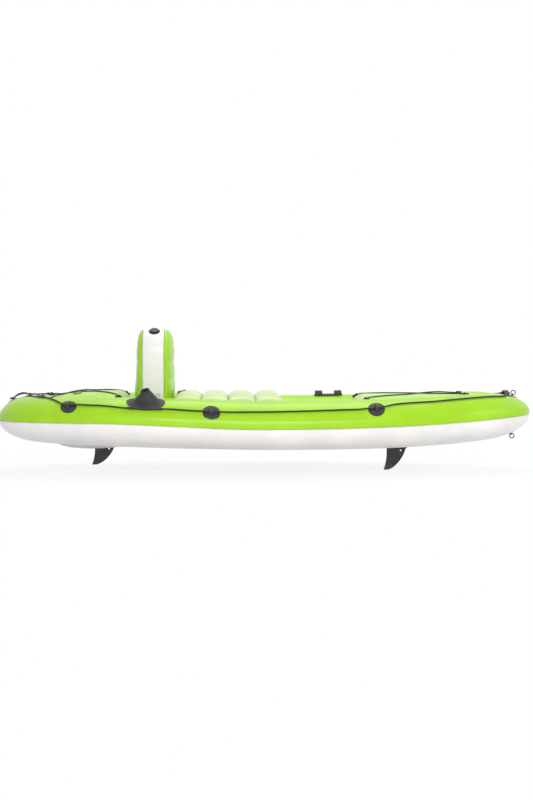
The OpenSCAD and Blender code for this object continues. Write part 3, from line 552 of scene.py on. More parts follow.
@made_once
def braided(name, colour, pitch, around):
    """Braided line: two crossed sets of strands over the piece's own UV map, with painted shade in
    the grooves between them.
    """
    f = Finish(name)
    u, v = f.axis("X", "UV"), f.axis("Y", "UV")
    along, across = 2 * math.pi / pitch, 2 * math.pi / around
    strands = (u * along + v * across).sine().most((u * along - v * across).sine())
    fuzz = f.noise(2200.0, 2.0, 0.6)
    # painted shade: the colour goes darker in the grooves between the strands and lighter on their
    # crowns
    base = f.blend(strands.between(-0.2, 1.0), shade(colour, 0.45), shade(colour, 1.25))
    normal = f.bump(strands, 0.7, 0.0009)
    return f.set(Base_Color=base, Roughness=0.72 + fuzz * 0.1, Normal=normal, Sheen_Weight=0.15)


# ---- settings

def length(name, description, default, low, high):
    return FloatProperty(name=name, description=description, default=default, min=low, max=high,
                         subtype="DISTANCE", unit="LENGTH", precision=4)


def tint(name, description, *rgb):
    return FloatVectorProperty(name=name, description=description, default=linear(*rgb),
                               subtype="COLOR", size=4, min=0, max=1)


class KayakSizes(bpy.types.PropertyGroup):
    """Sizes that a user would change"""
    pucker: length("Seam Pucker", "Depth of the small gathers beside each welded seam",
                   0.0012, 0.0, 0.004)
    rope_diameter: length("Grab Line", "Diameter of the grab line along each side",
                          0.008, 0.006, 0.009)
    bungee_diameter: length("Deck Cord", "Diameter of the elastic cords on the decks",
                            0.006, 0.004, 0.007)
    stitch_gap: length("Stitch Gap", "Distance from one stitch to the next", 0.0042, 0.003, 0.01)
    floor_channels: IntProperty(name="Floor Channels", default=5, min=3, max=7,
                                description="Lengthwise welds in the flat bottom")


class KayakColours(bpy.types.PropertyGroup):
    """Colours that a user would change"""
    lime: tint("Lime Skin", "Side tubes and backrest panels", 158, 209, 24)
    pale_lime: tint("Pale Lime Skin", "Floor, seat and decks", 178, 222, 80)
    # the seat colour is the pillows' own lime tone paled towards white, a painted highlight for
    # the sheen on their tops
    seat: tint("Seat Skin", "Seat pillows, a little paler", 199, 215, 148)
    white: tint("White Skin", "Bottom and backrest border", 235, 231, 228)
    black: tint("Black Rubber", "Patches, rod holders and handles", 42, 41, 41)
    fin: tint("Fin Plastic", "Fins and their boxes", 60, 60, 60)
    valve: tint("Valve Plastic", "Air valves of the decks and seat", 118, 138, 92)


def sizes():
    return bpy.context.scene.kayak_sizes


def colours():
    return bpy.context.scene.kayak_colours


def lime():
    return coated_fabric("lime_skin", tuple(colours().lime))


def pale_lime():
    return coated_fabric("pale_lime_skin", tuple(colours().pale_lime), gloss=0.27)


# the pillows' lime tone, paled towards white as a painted highlight for the sheen on their tops
def seat_lime_painted_sheen():
    return coated_fabric("seat_lime_skin", tuple(colours().seat), gloss=0.2)


def white():
    return coated_fabric("white_skin", tuple(colours().white), gloss=0.3, tired=0.8)


def rubber():
    return moulded("black_rubber", tuple(colours().black), rough=0.52)


def fin_plastic():
    return moulded("fin_plastic", tuple(colours().fin), rough=0.42, grain=700.0, depth=0.0002)


# ---- finishing a piece

AIR_FRAMES = 20
CLOTH = {
    "quality": 3, "mass": 0.3, "tension_stiffness": 12, "compression_stiffness": 12,
    "shear_stiffness": 6, "bending_stiffness": 0.4, "use_pressure": True,
    "uniform_pressure_force": 4.0,
}


def finish_piece(name, mesh, material, body, nodes=()):
    mesh.materials.clear()
    mesh.materials.append(material)
    piece = new_piece(name, mesh)
    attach(piece, body)
    if nodes:
        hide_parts(*nodes)
    return piece


def dress_node(node, material):
    """Gives a CAD node that is shown as it is its material."""
    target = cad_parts[node]
    if not target.material_slots:
        target.data.materials.append(material)
    for slot in target.material_slots:
        slot.material = material


def inflate(mesh, cap, keep, voxel):
    """Blows air into a soft shell by a cloth simulation, with each point held to a cap.

    keep is the share of the movement that is kept along each axis, so that a pad stays between
    its walls."""
    body = new_piece("air_work", mesh)
    remesh = body.modifiers.new("voxels", "REMESH")
    remesh.mode = "VOXEL"
    remesh.voxel_size = voxel
    body = new_piece("air_work", baked(body))
    before = points_of(body.data)
    cloth = body.modifiers.new("air", "CLOTH")
    for key, value in CLOTH.items():
        setattr(cloth.settings, key, value)
    cloth.settings.effector_weights.gravity = 0
    cloth.point_cache.frame_start = 1
    cloth.point_cache.frame_end = AIR_FRAMES
    scene = bpy.context.scene
    for number in range(1, AIR_FRAMES + 1):
        scene.frame_set(number)
    blown = baked(body)
    move = points_of(blown) - before
    move -= move.mean(axis=0)
    size = np.linalg.norm(move, axis=1, keepdims=True)
    move *= np.minimum(1, cap / np.maximum(size, 1e-9)) * np.array(keep)
    blown.vertices.foreach_set("co", (before + move).ravel())
    scene.frame_set(1)
    body = new_piece("air_work", blown)
    body.modifiers.new("finer", "SUBSURF").levels = 1
    fine = baked(body)
    smooth(fine)
    return fine


def gathers(mesh, low, high):
    """Presses the small pleats of the welds into the upper face of a pad, at its two ends."""
    depth, reach = 0.0012, 0.014
    co = points_of(mesh)
    away = np.minimum(co[:, 0] - low, high - co[:, 0])
    upper = np.clip((co[:, 2] - co[:, 2].min()) / np.ptp(co[:, 2]) * 3 - 1.5, 0, 1)
    pleats = 1 + waves(co[:, 1], (0.019, 0.3, 0.6), (0.031, 1.6, 0.5))
    co[:, 2] -= depth * upper * pleats * np.exp(-np.maximum(away, 0) / reach)
    mesh.vertices.foreach_set("co", co.ravel())
    mesh.update()
    return mesh


# ---- hull

def seam_pucker(along, away):
    """Small gathers in the cloth, strongest at the seam and gone a hand's width away."""
    depth = sizes().pucker
    fade = np.exp(-away / 0.028)
    return depth * fade * waves(along, (0.031, 0.3, 0.5), (0.047, 1.1, 0.4), (0.019, 2.0, 0.3),
                                (0.113, 0.7, 0.5))


def rim_angles(count, crowd=0.3):
    t = np.linspace(0, 1, count)
    return math.pi * t - crowd * np.sin(2 * math.pi * t)


def rim_run(angles):
    x, y = rim(0.0, angles)
    return np.concatenate([[0], np.cumsum(np.hypot(np.diff(x), np.diff(y)))])


class KAYAK_OT_side_tubes(bpy.types.Operator):
    """Make the two upper air tubes with their gathered seams"""
    bl_idname = "kayak.side_tubes"
    bl_label = "Side Tubes"

    def execute(self, context):
        stations, sides = 300, 61
        angles = rim_angles(stations)
        run = rim_run(angles)
        phi = np.linspace(0, math.pi, sides)
        inset = TUBE_W / 2 * (1 - np.cos(phi))
        x, y = rim(inset[None, :], angles[:, None])
        h = tube_h(x) - SEAM_GAP / 2
        away = phi * TUBE_W / 2
        outer = seam_pucker(run[:, None], away[None, :])
        inner = seam_pucker(run[:, None] * 1.1 + 0.4, away[None, ::-1])
        puff = outer + 0.6 * inner
        # the tube is a little boxy just over the seam, where its two skins are welded
        weld_at, weld_spread, weld_out = math.radians(17), math.radians(11), 0.0035
        box = weld_out * np.exp(-((phi - weld_at) / weld_spread) ** 2)
        grow = 1 + (puff + box[None, :]) / (TUBE_W / 2)
        z = seam_z(x) + SEAM_GAP / 2 + h * np.sin(phi)[None, :] * grow
        mid_x, mid_y = rim(TUBE_W / 2, angles)
        x = mid_x[:, None] + (x - mid_x[:, None]) * grow
        y = mid_y[:, None] + (y - mid_y[:, None]) * grow
        y = np.maximum(y, 0) + CENTRE_GAP
        rows = afloat(xyz(x, y, z))
        for name, side in (("port_tube", rows), ("starboard_tube", mirrored(rows))):
            mesh = sheet_mesh(name + "_skin", side)
            finish_piece(name + "_skin", mesh, lime(), "hull", [name])
        return {"FINISHED"}


FLAT_W = 0.6
WELD_DEPTH = 0.004
RIDGE_L = 0.36
RIDGE_W = 0.054
RIDGE_LOW = 0.011
RIDGE_X = -0.88


class KAYAK_OT_bottom(bpy.types.Operator):
    """Make the white lower skin with its lengthwise welds, and the ridges beside the rear fin"""
    bl_idname = "kayak.bottom"
    bl_label = "Bottom"

    def execute(self, context):
        stations, sides, tip = 260, 31, 0.03
        angles = rim_angles(stations)
        # the first and last rows just miss the centre line, so that both tips stay closed
        angles[0], angles[-1] = math.radians(tip), math.radians(180 - tip)
        run = rim_run(angles)
        phi = np.radians(np.linspace(0, 90, sides))
        inset = BILGE * (1 - np.cos(phi))
        x, y = rim(inset[None, :], angles[:, None])
        top = seam_z(x) - SEAM_GAP / 2
        z = mix(top, bottom_z(x), np.sin(phi)[None, :])
        away = phi * BILGE
        puff = seam_pucker(run[:, None] + 0.21, away[None, :])
        y = np.maximum(y + puff * np.cos(phi)[None, :], 0.001)
        z = z - puff * np.sin(phi)[None, :]
        # across the flat bottom, with shallow lengthwise welds
        flat = np.linspace(1, 0, 22)[1:]
        fx = x[:, -1:]
        fy = y[:, -1:] * flat[None, :]
        count = sizes().floor_channels
        weld = np.abs(np.sin(math.pi * count * fy / FLAT_W + math.pi / 2 * (count % 2 == 0)))
        fz = bottom_z(fx) + WELD_DEPTH * np.power(1 - weld, 3)
        half = np.concatenate([xyz(x, y, z), xyz(fx, fy, fz)], axis=1)
        other = mirrored(half[:, ::-1])[:, 1:]
        rows = afloat(np.concatenate([half, other], axis=1))
        mesh = sheet_mesh("bottom_shell", rows, caps="strips")
        finish_piece("bottom_shell", mesh, white(), "hull", ["bottom_skin"])
        self.ridges()
        return {"FINISHED"}

    @staticmethod
    def ridges():
        t = np.cos(np.linspace(math.pi, 0, 49)) * 0.995
        x = RIDGE_X + RIDGE_L / 2 * t
        deep = np.maximum(0.0015, (bottom_z(x) + RIDGE_LOW) * arc(t))
        w = RIDGE_W / 2 * mix(0.4, 1, arc(t))
        a = np.linspace(0, math.pi, 25)
        at_skin = np.abs(np.cos(a)) > 0.8
        parts = []
        for side in (-1, 1):
            y0 = side * (0.024 + RIDGE_W / 2 + 0.0015)
            rows = xyz(x[:, None], y0 + w[:, None] * np.cos(a),
                       bottom_z(x)[:, None] - 0.0003 - deep[:, None] * np.sin(a))
            pleats = waves(rows[..., 0], (0.017, 0.0, 1.0), (0.029, 1.0, 1.0))
            rows[..., 2] += 0.0005 * pleats * at_skin
            parts.append(sheet_mesh("ridge", afloat(rows)))
        mesh = merged("stern_ridges", parts)
        finish_piece("stern_ridges", mesh, white(), "hull", ["stern_keel_ridges"])


class KAYAK_OT_seam(bpy.types.Operator):
    """Make the welded flange where the upper and lower skins meet"""
    bl_idname = "kayak.seam"
    bl_label = "Seam Flange"

    def execute(self, context):
        half = rim_angles(360)
        angles = np.concatenate([half, 2 * math.pi - half[-2:0:-1]])
        run = np.concatenate([[0], np.cumsum(np.abs(np.diff(angles)))]) * 0.8
        ruffle = 0.0006 * waves(run, (0.061, 0.0, 0.7), (0.027, 1.3, 0.5), (0.14, 0.4, 0.7))
        t = 0.0007
        profile = [(-0.003, -t), (-0.0033, 0), (-0.003, t), (0.02, t), (0.02, -t)]
        rows = []
        for inset, dz in profile:
            x, y = rim(inset, angles)
            y = np.where(angles > math.pi, -y, y)
            rows.append(xyz(x, y, seam_z(x) + dz + ruffle * (inset < 0)))
        mesh = sheet_mesh("seam_welt", afloat(np.stack(rows, axis=1)), close_u=True, caps=False)
        finish_piece("seam_welt", mesh, white(), "hull", ["seam_flange"])
        return {"FINISHED"}


class KAYAK_OT_floor(bpy.types.Operator):
    """Make the ribbed cockpit floor"""
    bl_idname = "kayak.floor"
    bl_label = "Cockpit Floor"

    def execute(self, context):
        ribs, height, pleat = 5, 0.009, 0.0012
        angles = rim_angles(160)[2:-2]
        across = np.linspace(1, -1, 101)
        x, y = rim(TUBE_W + SOFT_GAP, angles)
        lobe = np.abs(np.sin(math.pi / 2 * ribs * (1 - across)))
        uneven = 1 + waves(x, (0.036, 0.0, 0.6), (0.021, 1.0, 0.5))
        top = floor_z(x)[:, None] - height + height * lobe[None, :]
        top = top - pleat * np.exp(-lobe / 0.25)[None, :] * uneven[:, None]
        upper = xyz(x[:, None], y[:, None] * across, top)
        low = seam_z(x) + SEAM_GAP / 2 + 0.0003
        left, right = (xyz(x, side * y, low)[:, None] for side in (1, -1))
        rows = afloat(np.concatenate([left, upper, right], axis=1))
        mesh = sheet_mesh("floor_pad", rows)
        finish_piece("floor_pad", mesh, pale_lime(), "hull", ["cockpit_floor"])
        return {"FINISHED"}


# ---- decks and seat

def deck_rows(name, stations=90, sides=10, crown=28, weld=0.0016):
    low, high = DECKS[name]
    low = max(low, STERN_TIP)
    t = np.linspace(0, 1, stations)
    x = mix(low, high, mix(t, (1 - np.cos(math.pi * t)) / 2, 0.6))
    # the stern pad's aft edge is drawn round, as the pocket between the tubes is there
    into = np.clip((x - low) / TIP_ROUND, 0, 1) if name == "stern_deck" else 1 + 0 * x
    nose = mix(0.45, 1, np.sqrt(1 - (1 - into) ** 2))
    base, rim_top, wide, top = (f(name, x) for f in (deck_base, deck_rim_z, deck_rim_y, deck_top))
    rows = []
    for j in np.linspace(0, 1, sides):
        z = mix(base, rim_top, j)
        rows.append(xyz(x, nose * wall_y(name, x, z), z))
    for a in np.linspace(0, math.pi / 2, crown + 1)[1:]:
        y = nose * wide * math.sqrt(max(0.0, math.cos(a)))
        z = mix(rim_top, top, math.sin(a))
        z = z - weld * math.exp(-a / 0.12) * (1 + waves(x, (0.023, 0.4, 0.6), (0.037, 1.7, 0.6)))
        rows.append(xyz(x, y, z))
    half = np.stack(rows, axis=1)
    return np.concatenate([half, mirrored(half[:, ::-1])[:, 1:]], axis=1)


def pad_piece(name, rows, cap, voxel, material):
    """An inflated pad that keeps to its walls and swells upwards."""
    mesh = inflate(sheet_mesh(name + "_pad", afloat(rows)), cap, (0.2, 0.2, 1), voxel)
    mesh = gathers(mesh, *DECKS[name])
    finish_piece(name + "_pad", mesh, material, "hull", [name])


class KAYAK_OT_decks(bpy.types.Operator):
    """Make the padded stern and bow decks"""
    bl_idname = "kayak.decks"
    bl_label = "Decks"

    def execute(self, context):
        for name in ("stern_deck", "bow_deck"):
            pad_piece(name, deck_rows(name), 0.004, 0.009, pale_lime())
        return {"FINISHED"}


class KAYAK_OT_seat(bpy.types.Operator):
    """Make the four puffed seat pillows"""
    bl_idname = "kayak.seat"
    bl_label = "Seat Pillows"

    def execute(self, context):
        for i in range(4):
            name = f"seat_pillow_{i + 1}"
            rows = deck_rows(name, stations=44, sides=8, crown=26, weld=0.001)
            pad_piece(name, rows, 0.005, 0.006, seat_lime_painted_sheen())
        return {"FINISHED"}


# ---- backrest

BACK_W = 0.436
BACK_TOP = 0.593
BORDER_X = -0.617
BACK_BASE = float(floor_z(BORDER_X - 0.005)) + 0.0005
BACK_H = BACK_TOP - BACK_BASE
BACK_CORNER = 0.12
BACK_FOOT = 0.04
# how full each panel is over its height: a slight waist in front, a foot that spreads behind
BACK_HEIGHTS = (0, 0.06, 0.31, 0.47, 0.63, 0.8, 1)
BACK_FRONT = (1.0, 1.0, 0.92, 0.84, 0.8, 0.95, 0.95)
BACK_REAR = (1.0, 1.0, 0.82, 0.7, 0.66, 0.7, 0.7)
BAND = 0.104
BACK_MIDDLE = np.array([0, BACK_H / 2])


def back_outline(inset, per_corner=14):
    """Outline of the backrest as (y, z) over its base, anticlockwise from the lower port side."""
    w, h = BACK_W / 2 - inset, BACK_H - inset
    rt, rf = BACK_CORNER - inset, BACK_FOOT - inset
    corners = [(w - rf, inset + rf, rf, -90), (w - rt, h - rt, rt, 0), (-w + rt, h - rt, rt, 90),
               (-w + rf, inset + rf, rf, 180)]
    points = []
    for cy, cz, r, start in corners:
        for a in np.radians(start + np.linspace(0, 90, per_corner)):
            points.append((cy + r * math.cos(a), cz + r * math.sin(a)))
    dense = []
    for k, p in enumerate(points):
        q = points[(k + 1) % len(points)]
        gap = math.dist(p, q)
        steps = max(1, round(gap / 0.009))
        for s in range(steps):
            dense.append(mix(np.array(p), np.array(q), s / steps))
    return np.array(dense)


def back_ways(outline):
    """Directions from the backrest's middle to the points of its outline."""
    ways = outline - BACK_MIDDLE
    return ways / np.linalg.norm(ways, axis=1, keepdims=True)


def on_back(x, outline):
    return xyz(x, outline[:, 0], outline[:, 1] + BACK_BASE)


def band_swell(t):
    """How far the border stands out, at a share t of the way across it."""
    return 0.004 * math.sin(math.pi * t) ** 0.7 - 0.0005


class KAYAK_OT_backrest(bpy.types.Operator):
    """Make the inflatable backrest: white border and two swollen panels"""
    bl_idname = "kayak.backrest"
    bl_label = "Backrest"

    def execute(self, context):
        outline = back_outline(0.001)
        run = run_of(outline)
        ways = back_ways(outline)
        # border: a band that swells a little between its two seams
        rows = []
        for t in np.linspace(0, 1, 25):
            swell = band_swell(t)
            edge = 0.0008 * math.exp(-min(t, 1 - t) / 0.06)
            pucker = edge * waves(run, (0.021, 0.0, 0.6), (0.034, 1.2, 0.6))
            out = outline + ways * (swell + pucker)[:, None]
            out[:, 1] = np.maximum(out[:, 1], 0.0002)
            rows.append(on_back(BORDER_X + BAND * t, out))
        mesh = sheet_mesh("border_pad", afloat(rows))
        finish_piece("border_pad", mesh, white(), "backrest", ["backrest_border"])
        for name, start, way, bulge in (
                ("backrest_front_panel", BORDER_X + BAND + 0.0003, 1, 0.0497),
                ("backrest_rear_panel", BORDER_X - 0.0003, -1, 0.0537)):
            mesh = self.panel(name + "_pad", start, way, bulge, outline, run)
            mesh = inflate(mesh, 0.003, (1, 0.2, 0.2), 0.007)
            finish_piece(name + "_pad", mesh, lime(), "backrest", [name])
        return {"FINISHED"}

    @staticmethod
    def panel(name, start, way, bulge, outline, run):
        edge, power, welds = 0.0006, 2.3, 5
        near_edge = 1 - 0.18 * np.linspace(0, 1, 14)[1:] ** 1.6
        shares = np.concatenate([[1.0], near_edge, np.linspace(0.82, 0.02, 42)[1:]])
        rows = [on_back(start, mix(BACK_MIDDLE, outline, 0.02))]
        for s in shares:
            p = mix(BACK_MIDDLE, outline, s)
            height = p[:, 1] / BACK_H
            lean = np.interp(height, BACK_HEIGHTS, BACK_FRONT if way > 0 else BACK_REAR)
            swell = edge + (bulge - edge) * (1 - s ** power) ** (1 / power) * lean
            fade = float(np.clip((0.95 - s) / 0.1, 0, 1))
            lobe = np.abs(np.sin(math.pi * welds * p[:, 1] / BACK_H))
            swell = swell - (0.005 if way > 0 else 0.002) * fade * np.power(1 - lobe, 2.2)
            pleats = waves(run, (0.019, 0.0, 0.7), (0.031, 1.4, 0.6))
            swell = swell + 0.0009 * math.exp(-(1 - s) / 0.035) * pleats
            rows.append(on_back(start + way * swell, p))
        return sheet_mesh(name, afloat(rows))


# ---- lines

# stations along the side in mm, angles up the tube in degrees, lifts off the skin in mm
GRAB_AFT = [
    (-1194, 95.2, 4), (-1190, 96, 5), (-1176, 94, 1), (-1150, 88, 0), (-1115, 82, 0),
    (-1075, 76, 0), (-1040, 65, 0), (-1010, 53, 2.4), (-985, 46, 3), (-963, 43, 3.1),
    (-938, 45, 3), (-918, 45.5, 2.6), (-890, 46, 0.4), (-860, 45, 0), (-810, 44, 0),
    (-750, 41, 0),
]
GRAB_FORE = [
    (-430, 37, 0), (-370, 36, 0), (-315, 35, 2.8), (-275, 34, 3.1), (-235, 35, 2.8),
    (-185, 36, 0), (-120, 37, 0), (0, 38, 0), (120, 39, 0), (240, 40, 0), (360, 41, 0),
    (430, 41, 0), (480, 42, 2.8), (519, 42, 3.1), (559, 45, 2.8), (605, 51, 0), (650, 53, 0),
    (720, 54, 0), (800, 54, 0), (880, 55.5, 0), (960, 57.5, 0), (1030, 59, 0), (1090, 60, 0),
    (1140, 62, 0), (1175, 63.5, 0), (1195, 66.5, 0), (1208, 70.5, 0), (1216, 75, 1.5),
    (1221, 78.3, 3),
]
ROPE_LIFT = 0.0055
# plan points of the deck cords in mm
STERN_CORD = [
    (-1132, 186), (-1112, 172), (-1085, 145), (-1055, 113), (-1020, 76), (-985, 38), (-950, 2),
    (-915, -36), (-875, -79), (-835, -124), (-790, -178), (-758, -218), (-745, -233),
    (-732, -248), (-718, -262),
]
BOW_CORD = [
    (470, 260), (487, 248), (503, 237), (520, 226), (580, 186), (640, 145), (710, 97),
    (780, 49), (852, 0), (900, -32), (945, -62), (975, -82), (1000, -98), (1016, -109),
]
CORD_LIFT = 0.0071
CROSS_LIFT = 0.007
CROSS_REACH = 0.075
HOLDER_X = -0.576
FLANGE_X = HOLDER_X - 0.014
HOLDER_ANGLE = 59
SLEEVE_ANGLE = HOLDER_ANGLE - 23
SLEEVE_REACH = 0.106
SLEEVE_LIFT = 0.0105


def tunnel(count=5):
    """Points of the grab line through the sleeve at the foot of a rod holder."""
    ends = [on_side(FLANGE_X + way * SLEEVE_REACH, SLEEVE_ANGLE, SLEEVE_LIFT) for way in (-1, 1)]
    return [mix(ends[0], ends[1], t) for t in np.linspace(0, 1, count)]


def grab_points():
    def leg(plan):
        plan = np.array(plan, float)
        return on_side(plan[:, 0] * MM, plan[:, 1], ROPE_LIFT + plan[:, 2] * MM)
    return np.vstack([leg(GRAB_AFT), tunnel(), leg(GRAB_FORE)])


def cover_z(deck, x, y):
    inside = np.abs(y) < deck_rim_y(deck, x)
    return np.where(inside, np.maximum(deck_z(deck, x, y), tube_z(x, y)), tube_z(x, y))


def cord_points(deck, plan, over):
    plan = np.array(plan, float) * MM
    x, y = plan[:, 0], plan[:, 1]
    slope_x = (cover_z(deck, x + MM, y) - cover_z(deck, x - MM, y)) / (2 * MM)
    slope_y = (cover_z(deck, x, y + MM) - cover_z(deck, x, y - MM)) / (2 * MM)
    z = cover_z(deck, x, y) + CORD_LIFT * np.minimum(1.3, np.sqrt(1 + slope_x ** 2 + slope_y ** 2))
    if over:
        z = z + CROSS_LIFT * ease(1.2 - np.abs(y) / CROSS_REACH)
    return xyz(x, y, z)


def knot_mesh(centre, way, size, radius):
    """A stopper knot: one strand in three tight lobes, square to the line that it ends."""
    t = np.linspace(0, 2 * math.pi, 61)
    loop = size * xyz(np.sin(t) + 2 * np.sin(2 * t), np.cos(t) - 2 * np.cos(2 * t),
                      -1.1 * np.sin(3 * t))
    turn = Vector(way).to_track_quat("Z", "Y").to_matrix()
    loop = loop @ np.array(turn).T + centre
    return sheet_mesh("knot", tube_rows(loop, radius, 10))


def line_piece(name, points, diameter, material, node, knots=()):
    path = spline(afloat(points), 7)
    rows = tube_rows(path, diameter / 2, 12)
    mesh = sheet_mesh(name, rows)
    piece = finish_piece(name, mesh, material, "hull", [node])
    hitches = []
    for end in knots:
        way = path[1] - path[0] if end == 0 else path[-1] - path[-2]
        centre = path[end] + (0, 0, diameter * 0.12)
        mesh = knot_mesh(centre, way, diameter * 0.26, diameter * 0.4)
        knot = f"{name}_knot_{len(hitches) + 1}"
        hitches.append(finish_piece(knot, mesh, material, "hull", ()))


class KAYAK_OT_lines(bpy.types.Operator):
    """Make the grab lines and the crossed elastic deck cords"""
    bl_idname = "kayak.lines"
    bl_label = "Lines"

    def execute(self, context):
        rope = braided("grab_line_braid", linear(34, 34, 33), 0.0075, 0.0084)
        cord = braided("deck_cord_braid", linear(30, 30, 30), 0.0045, 0.0063)
        points = grab_points()
        for side, run in (("port", points), ("starboard", mirrored(points))):
            line_piece(f"{side}_grab_line", run, sizes().rope_diameter, rope, f"grab_line_{side}")
        for end, plan in (("stern", STERN_CORD), ("bow", BOW_CORD)):
            under = cord_points(end + "_deck", plan, False)
            over = mirrored(cord_points(end + "_deck", plan, True))
            for key, points in (("a", under), ("b", over)):
                line_piece(f"{end}_bungee_cord_{key}", points, sizes().bungee_diameter, cord,
                           f"{end}_bungee_{key}", (0, -1))
        return {"FINISHED"}


# ---- places on the skins

PATCH_SEAT = 0.0007
PATCH_THICK = 0.003
KNOB = (0.0085, 0.008)


def hull_under_z(x, y):
    d = np.minimum(inset_at(x, y), BILGE)
    return seam_z(x) - (seam_z(x) - bottom_z(x)) * arc(1 - d / BILGE)


def skin(f, u, v):
    """A point of a skin: "side" by station and angle up the tube, the others by plan point."""
    if f == "side":
        return side_point(u, v)
    u, v = np.broadcast_arrays(np.asarray(u, float), np.asarray(v, float))
    z = tube_z(u, v) if f == "tube" else hull_under_z(u, v) if f == "under" else deck_z(f, u, v)
    return xyz(u, v, z)


def skin_ways(f, u, v):
    """The skin's two directions and its outward normal."""
    d = 5e-4
    along = (skin(f, u + d, v) - skin(f, u - d, v)) / (2 * d)
    up = (skin(f, u, v + d) - skin(f, u, v - d)) / (2 * d)
    n = np.cross(along, up)
    n /= np.linalg.norm(n, axis=-1, keepdims=True)
    return along, up, -n if f in ("side", "under") else n


def skin_scale(f, u, v):
    """Metres on the skin for one unit of each of its two coordinates."""
    return [np.linalg.norm(way) for way in skin_ways(f, u, v)[:2]]


def on_skin(f, u, v, lift):
    return skin(f, u, v) + skin_ways(f, u, v)[2] * np.asarray(lift)[..., None]


def skin_frame(f, u, v):
    """Three square directions at a point of a skin: along the hull, across it and outwards."""
    n = skin_ways(f, u, v)[2]
    ty = np.cross(n, (1, 0, 0))
    ty /= np.linalg.norm(ty)
    return np.cross(ty, n), ty, n


def seat_matrix(f, u, v, lift, turn=0.0):
    """A frame on the skin, +Z along its normal and +X along the hull."""
    place = Matrix.Identity(4)
    for k, way in enumerate(skin_frame(f, u, v)):
        for r in range(3):
            place[r][k] = way[r]
    where = on_skin(f, u, v, lift)
    place.translation = Vector((where[0], where[1], where[2] + KEEL))
    return place @ Matrix.Rotation(math.radians(turn), 4, "Z")


def patch_mesh(f, u, v, ru, rv, thick, sides=72, bead=0.0007):
    """A welded patch that follows the skin, with a pressed rim and a faint inner ring."""
    ku, kv = skin_scale(f, u, v)
    a = np.linspace(0, 2 * math.pi, sides, endpoint=False)
    edge = 0.0016 / ru
    low, high = thick - bead, thick + bead
    profile = [
        (0.02, 0), (0.5, 0), (1 - edge, 0), (1, thick * 0.25), (1, thick * 0.55),
        (1 - edge * 0.5, thick * 0.9), (1 - edge, thick), (0.95, thick), (0.93, low), (0.88, low),
        (0.86, thick), (0.62, thick), (0.6, high), (0.56, high), (0.54, thick), (0.3, thick),
        (0.02, thick)]
    rows = []
    for s, h in profile:
        at_u, at_v = u + ru * s * np.cos(a) / ku, v + rv * s * np.sin(a) / kv
        rows.append(on_skin(f, at_u, at_v, np.full(sides, PATCH_SEAT + h)))
    return sheet_mesh("patch", afloat(np.array(rows)))


def ring_section(width, height, corner=0.0012, steps=4):
    """A rounded rectangle as (across, out) points."""
    points = []
    for sx, sy, start in ((1, 1, 0), (-1, 1, 90), (-1, -1, 180), (1, -1, 270)):
        for t in np.radians(start + np.linspace(0, 90, steps)):
            points.append((sx * (width / 2 - corner) + corner * math.cos(t),
                           sy * (height / 2 - corner) + corner * math.sin(t)))
    return np.array(points)


def section_at(angle, radius, section):
    """A section set across a circle about X, at an angle round it."""
    out = np.array((0, math.cos(angle), math.sin(angle)))
    return out * radius + np.outer(section[:, 0], (1, 0, 0)) + np.outer(section[:, 1], out)


def loop_mesh(place, inner, wall, wide, foot=0.004):
    """A moulded loop over a line: an arch of rounded section whose feet spread."""
    rows = []
    for t in np.linspace(-8, 188, 45):
        a = math.radians(t)
        spread = math.exp(-max(0.0, math.sin(a)) / 0.22)
        section = ring_section(wide + foot * spread, wall + foot * 0.5 * spread)
        rows.append(section_at(a, inner + wall / 2 + foot * 0.25 * spread, section))
    mesh = sheet_mesh("loop", np.array(rows))
    mesh.transform(place)
    return mesh


def strap_mesh(start, end, rise, thick, wide, place):
    """A moulded grip arched between two feet, thicker in the hand and waisted at the ends."""
    rows = []
    start, end = np.array(start), np.array(end)
    for t in np.linspace(0, 1, 49):
        before, p, after = (mix(start, end, q) + (0, rise * math.sin(math.pi * q) ** 0.75)
                            for q in (max(0, t - 0.012), t, min(1, t + 0.012)))
        way = (after - before) / np.linalg.norm(after - before)
        grip = ease(1.25 - abs(t - 0.5) / 0.3)
        section = ring_section(wide * (1 - 0.18 * grip), thick * (1 + 0.45 * grip),
                               min(0.0032, thick * 0.45), 6)
        normal = np.array((-way[1], way[0]))
        ripple = 0.0005 * math.cos(2 * math.pi * t * 17) * grip
        lift = section[:, 1] + ripple * np.sign(section[:, 1])
        rows.append(xyz(p[0] + normal[0] * lift, section[:, 0], p[1] + normal[1] * lift))
    mesh = sheet_mesh("strap", np.array(rows))
    mesh.transform(place)
    return mesh


def knob_mesh(place, radius, height):
    profile = [(0, 0), (radius, 0), (radius, height * 0.45)]
    for t in np.linspace(0.2, math.pi / 2, 7):
        profile.append((radius * math.cos(t), height * (0.45 + 0.55 * math.sin(t))))
    return revolve("knob", profile, 28, place)


def cut(mesh, tool):
    """Cuts one closed mesh out of another."""
    body, knife = new_piece("cut_work", mesh), new_piece("cut_tool", tool)
    modifier = body.modifiers.new("cut", "BOOLEAN")
    modifier.object = knife
    modifier.operation = "DIFFERENCE"
    modifier.solver = "EXACT"
    out = baked(body)
    bpy.data.objects.remove(knife)
    smooth(out)
    return out


def block_mesh(low, high, corner=0.0012):
    """A block with rounded edges."""
    work = bmesh.new()
    bmesh.ops.create_cube(work, size=1)
    for v in work.verts:
        v.co = [mix(low[k], high[k], v.co[k] + 0.5) for k in range(3)]
    bmesh.ops.bevel(work, geom=list(work.edges), offset=corner, segments=3, profile=0.5,
                    affect="EDGES")
    mesh = bpy.data.meshes.new("block")
    work.to_mesh(mesh)
    work.free()
    clean(mesh)
    return mesh


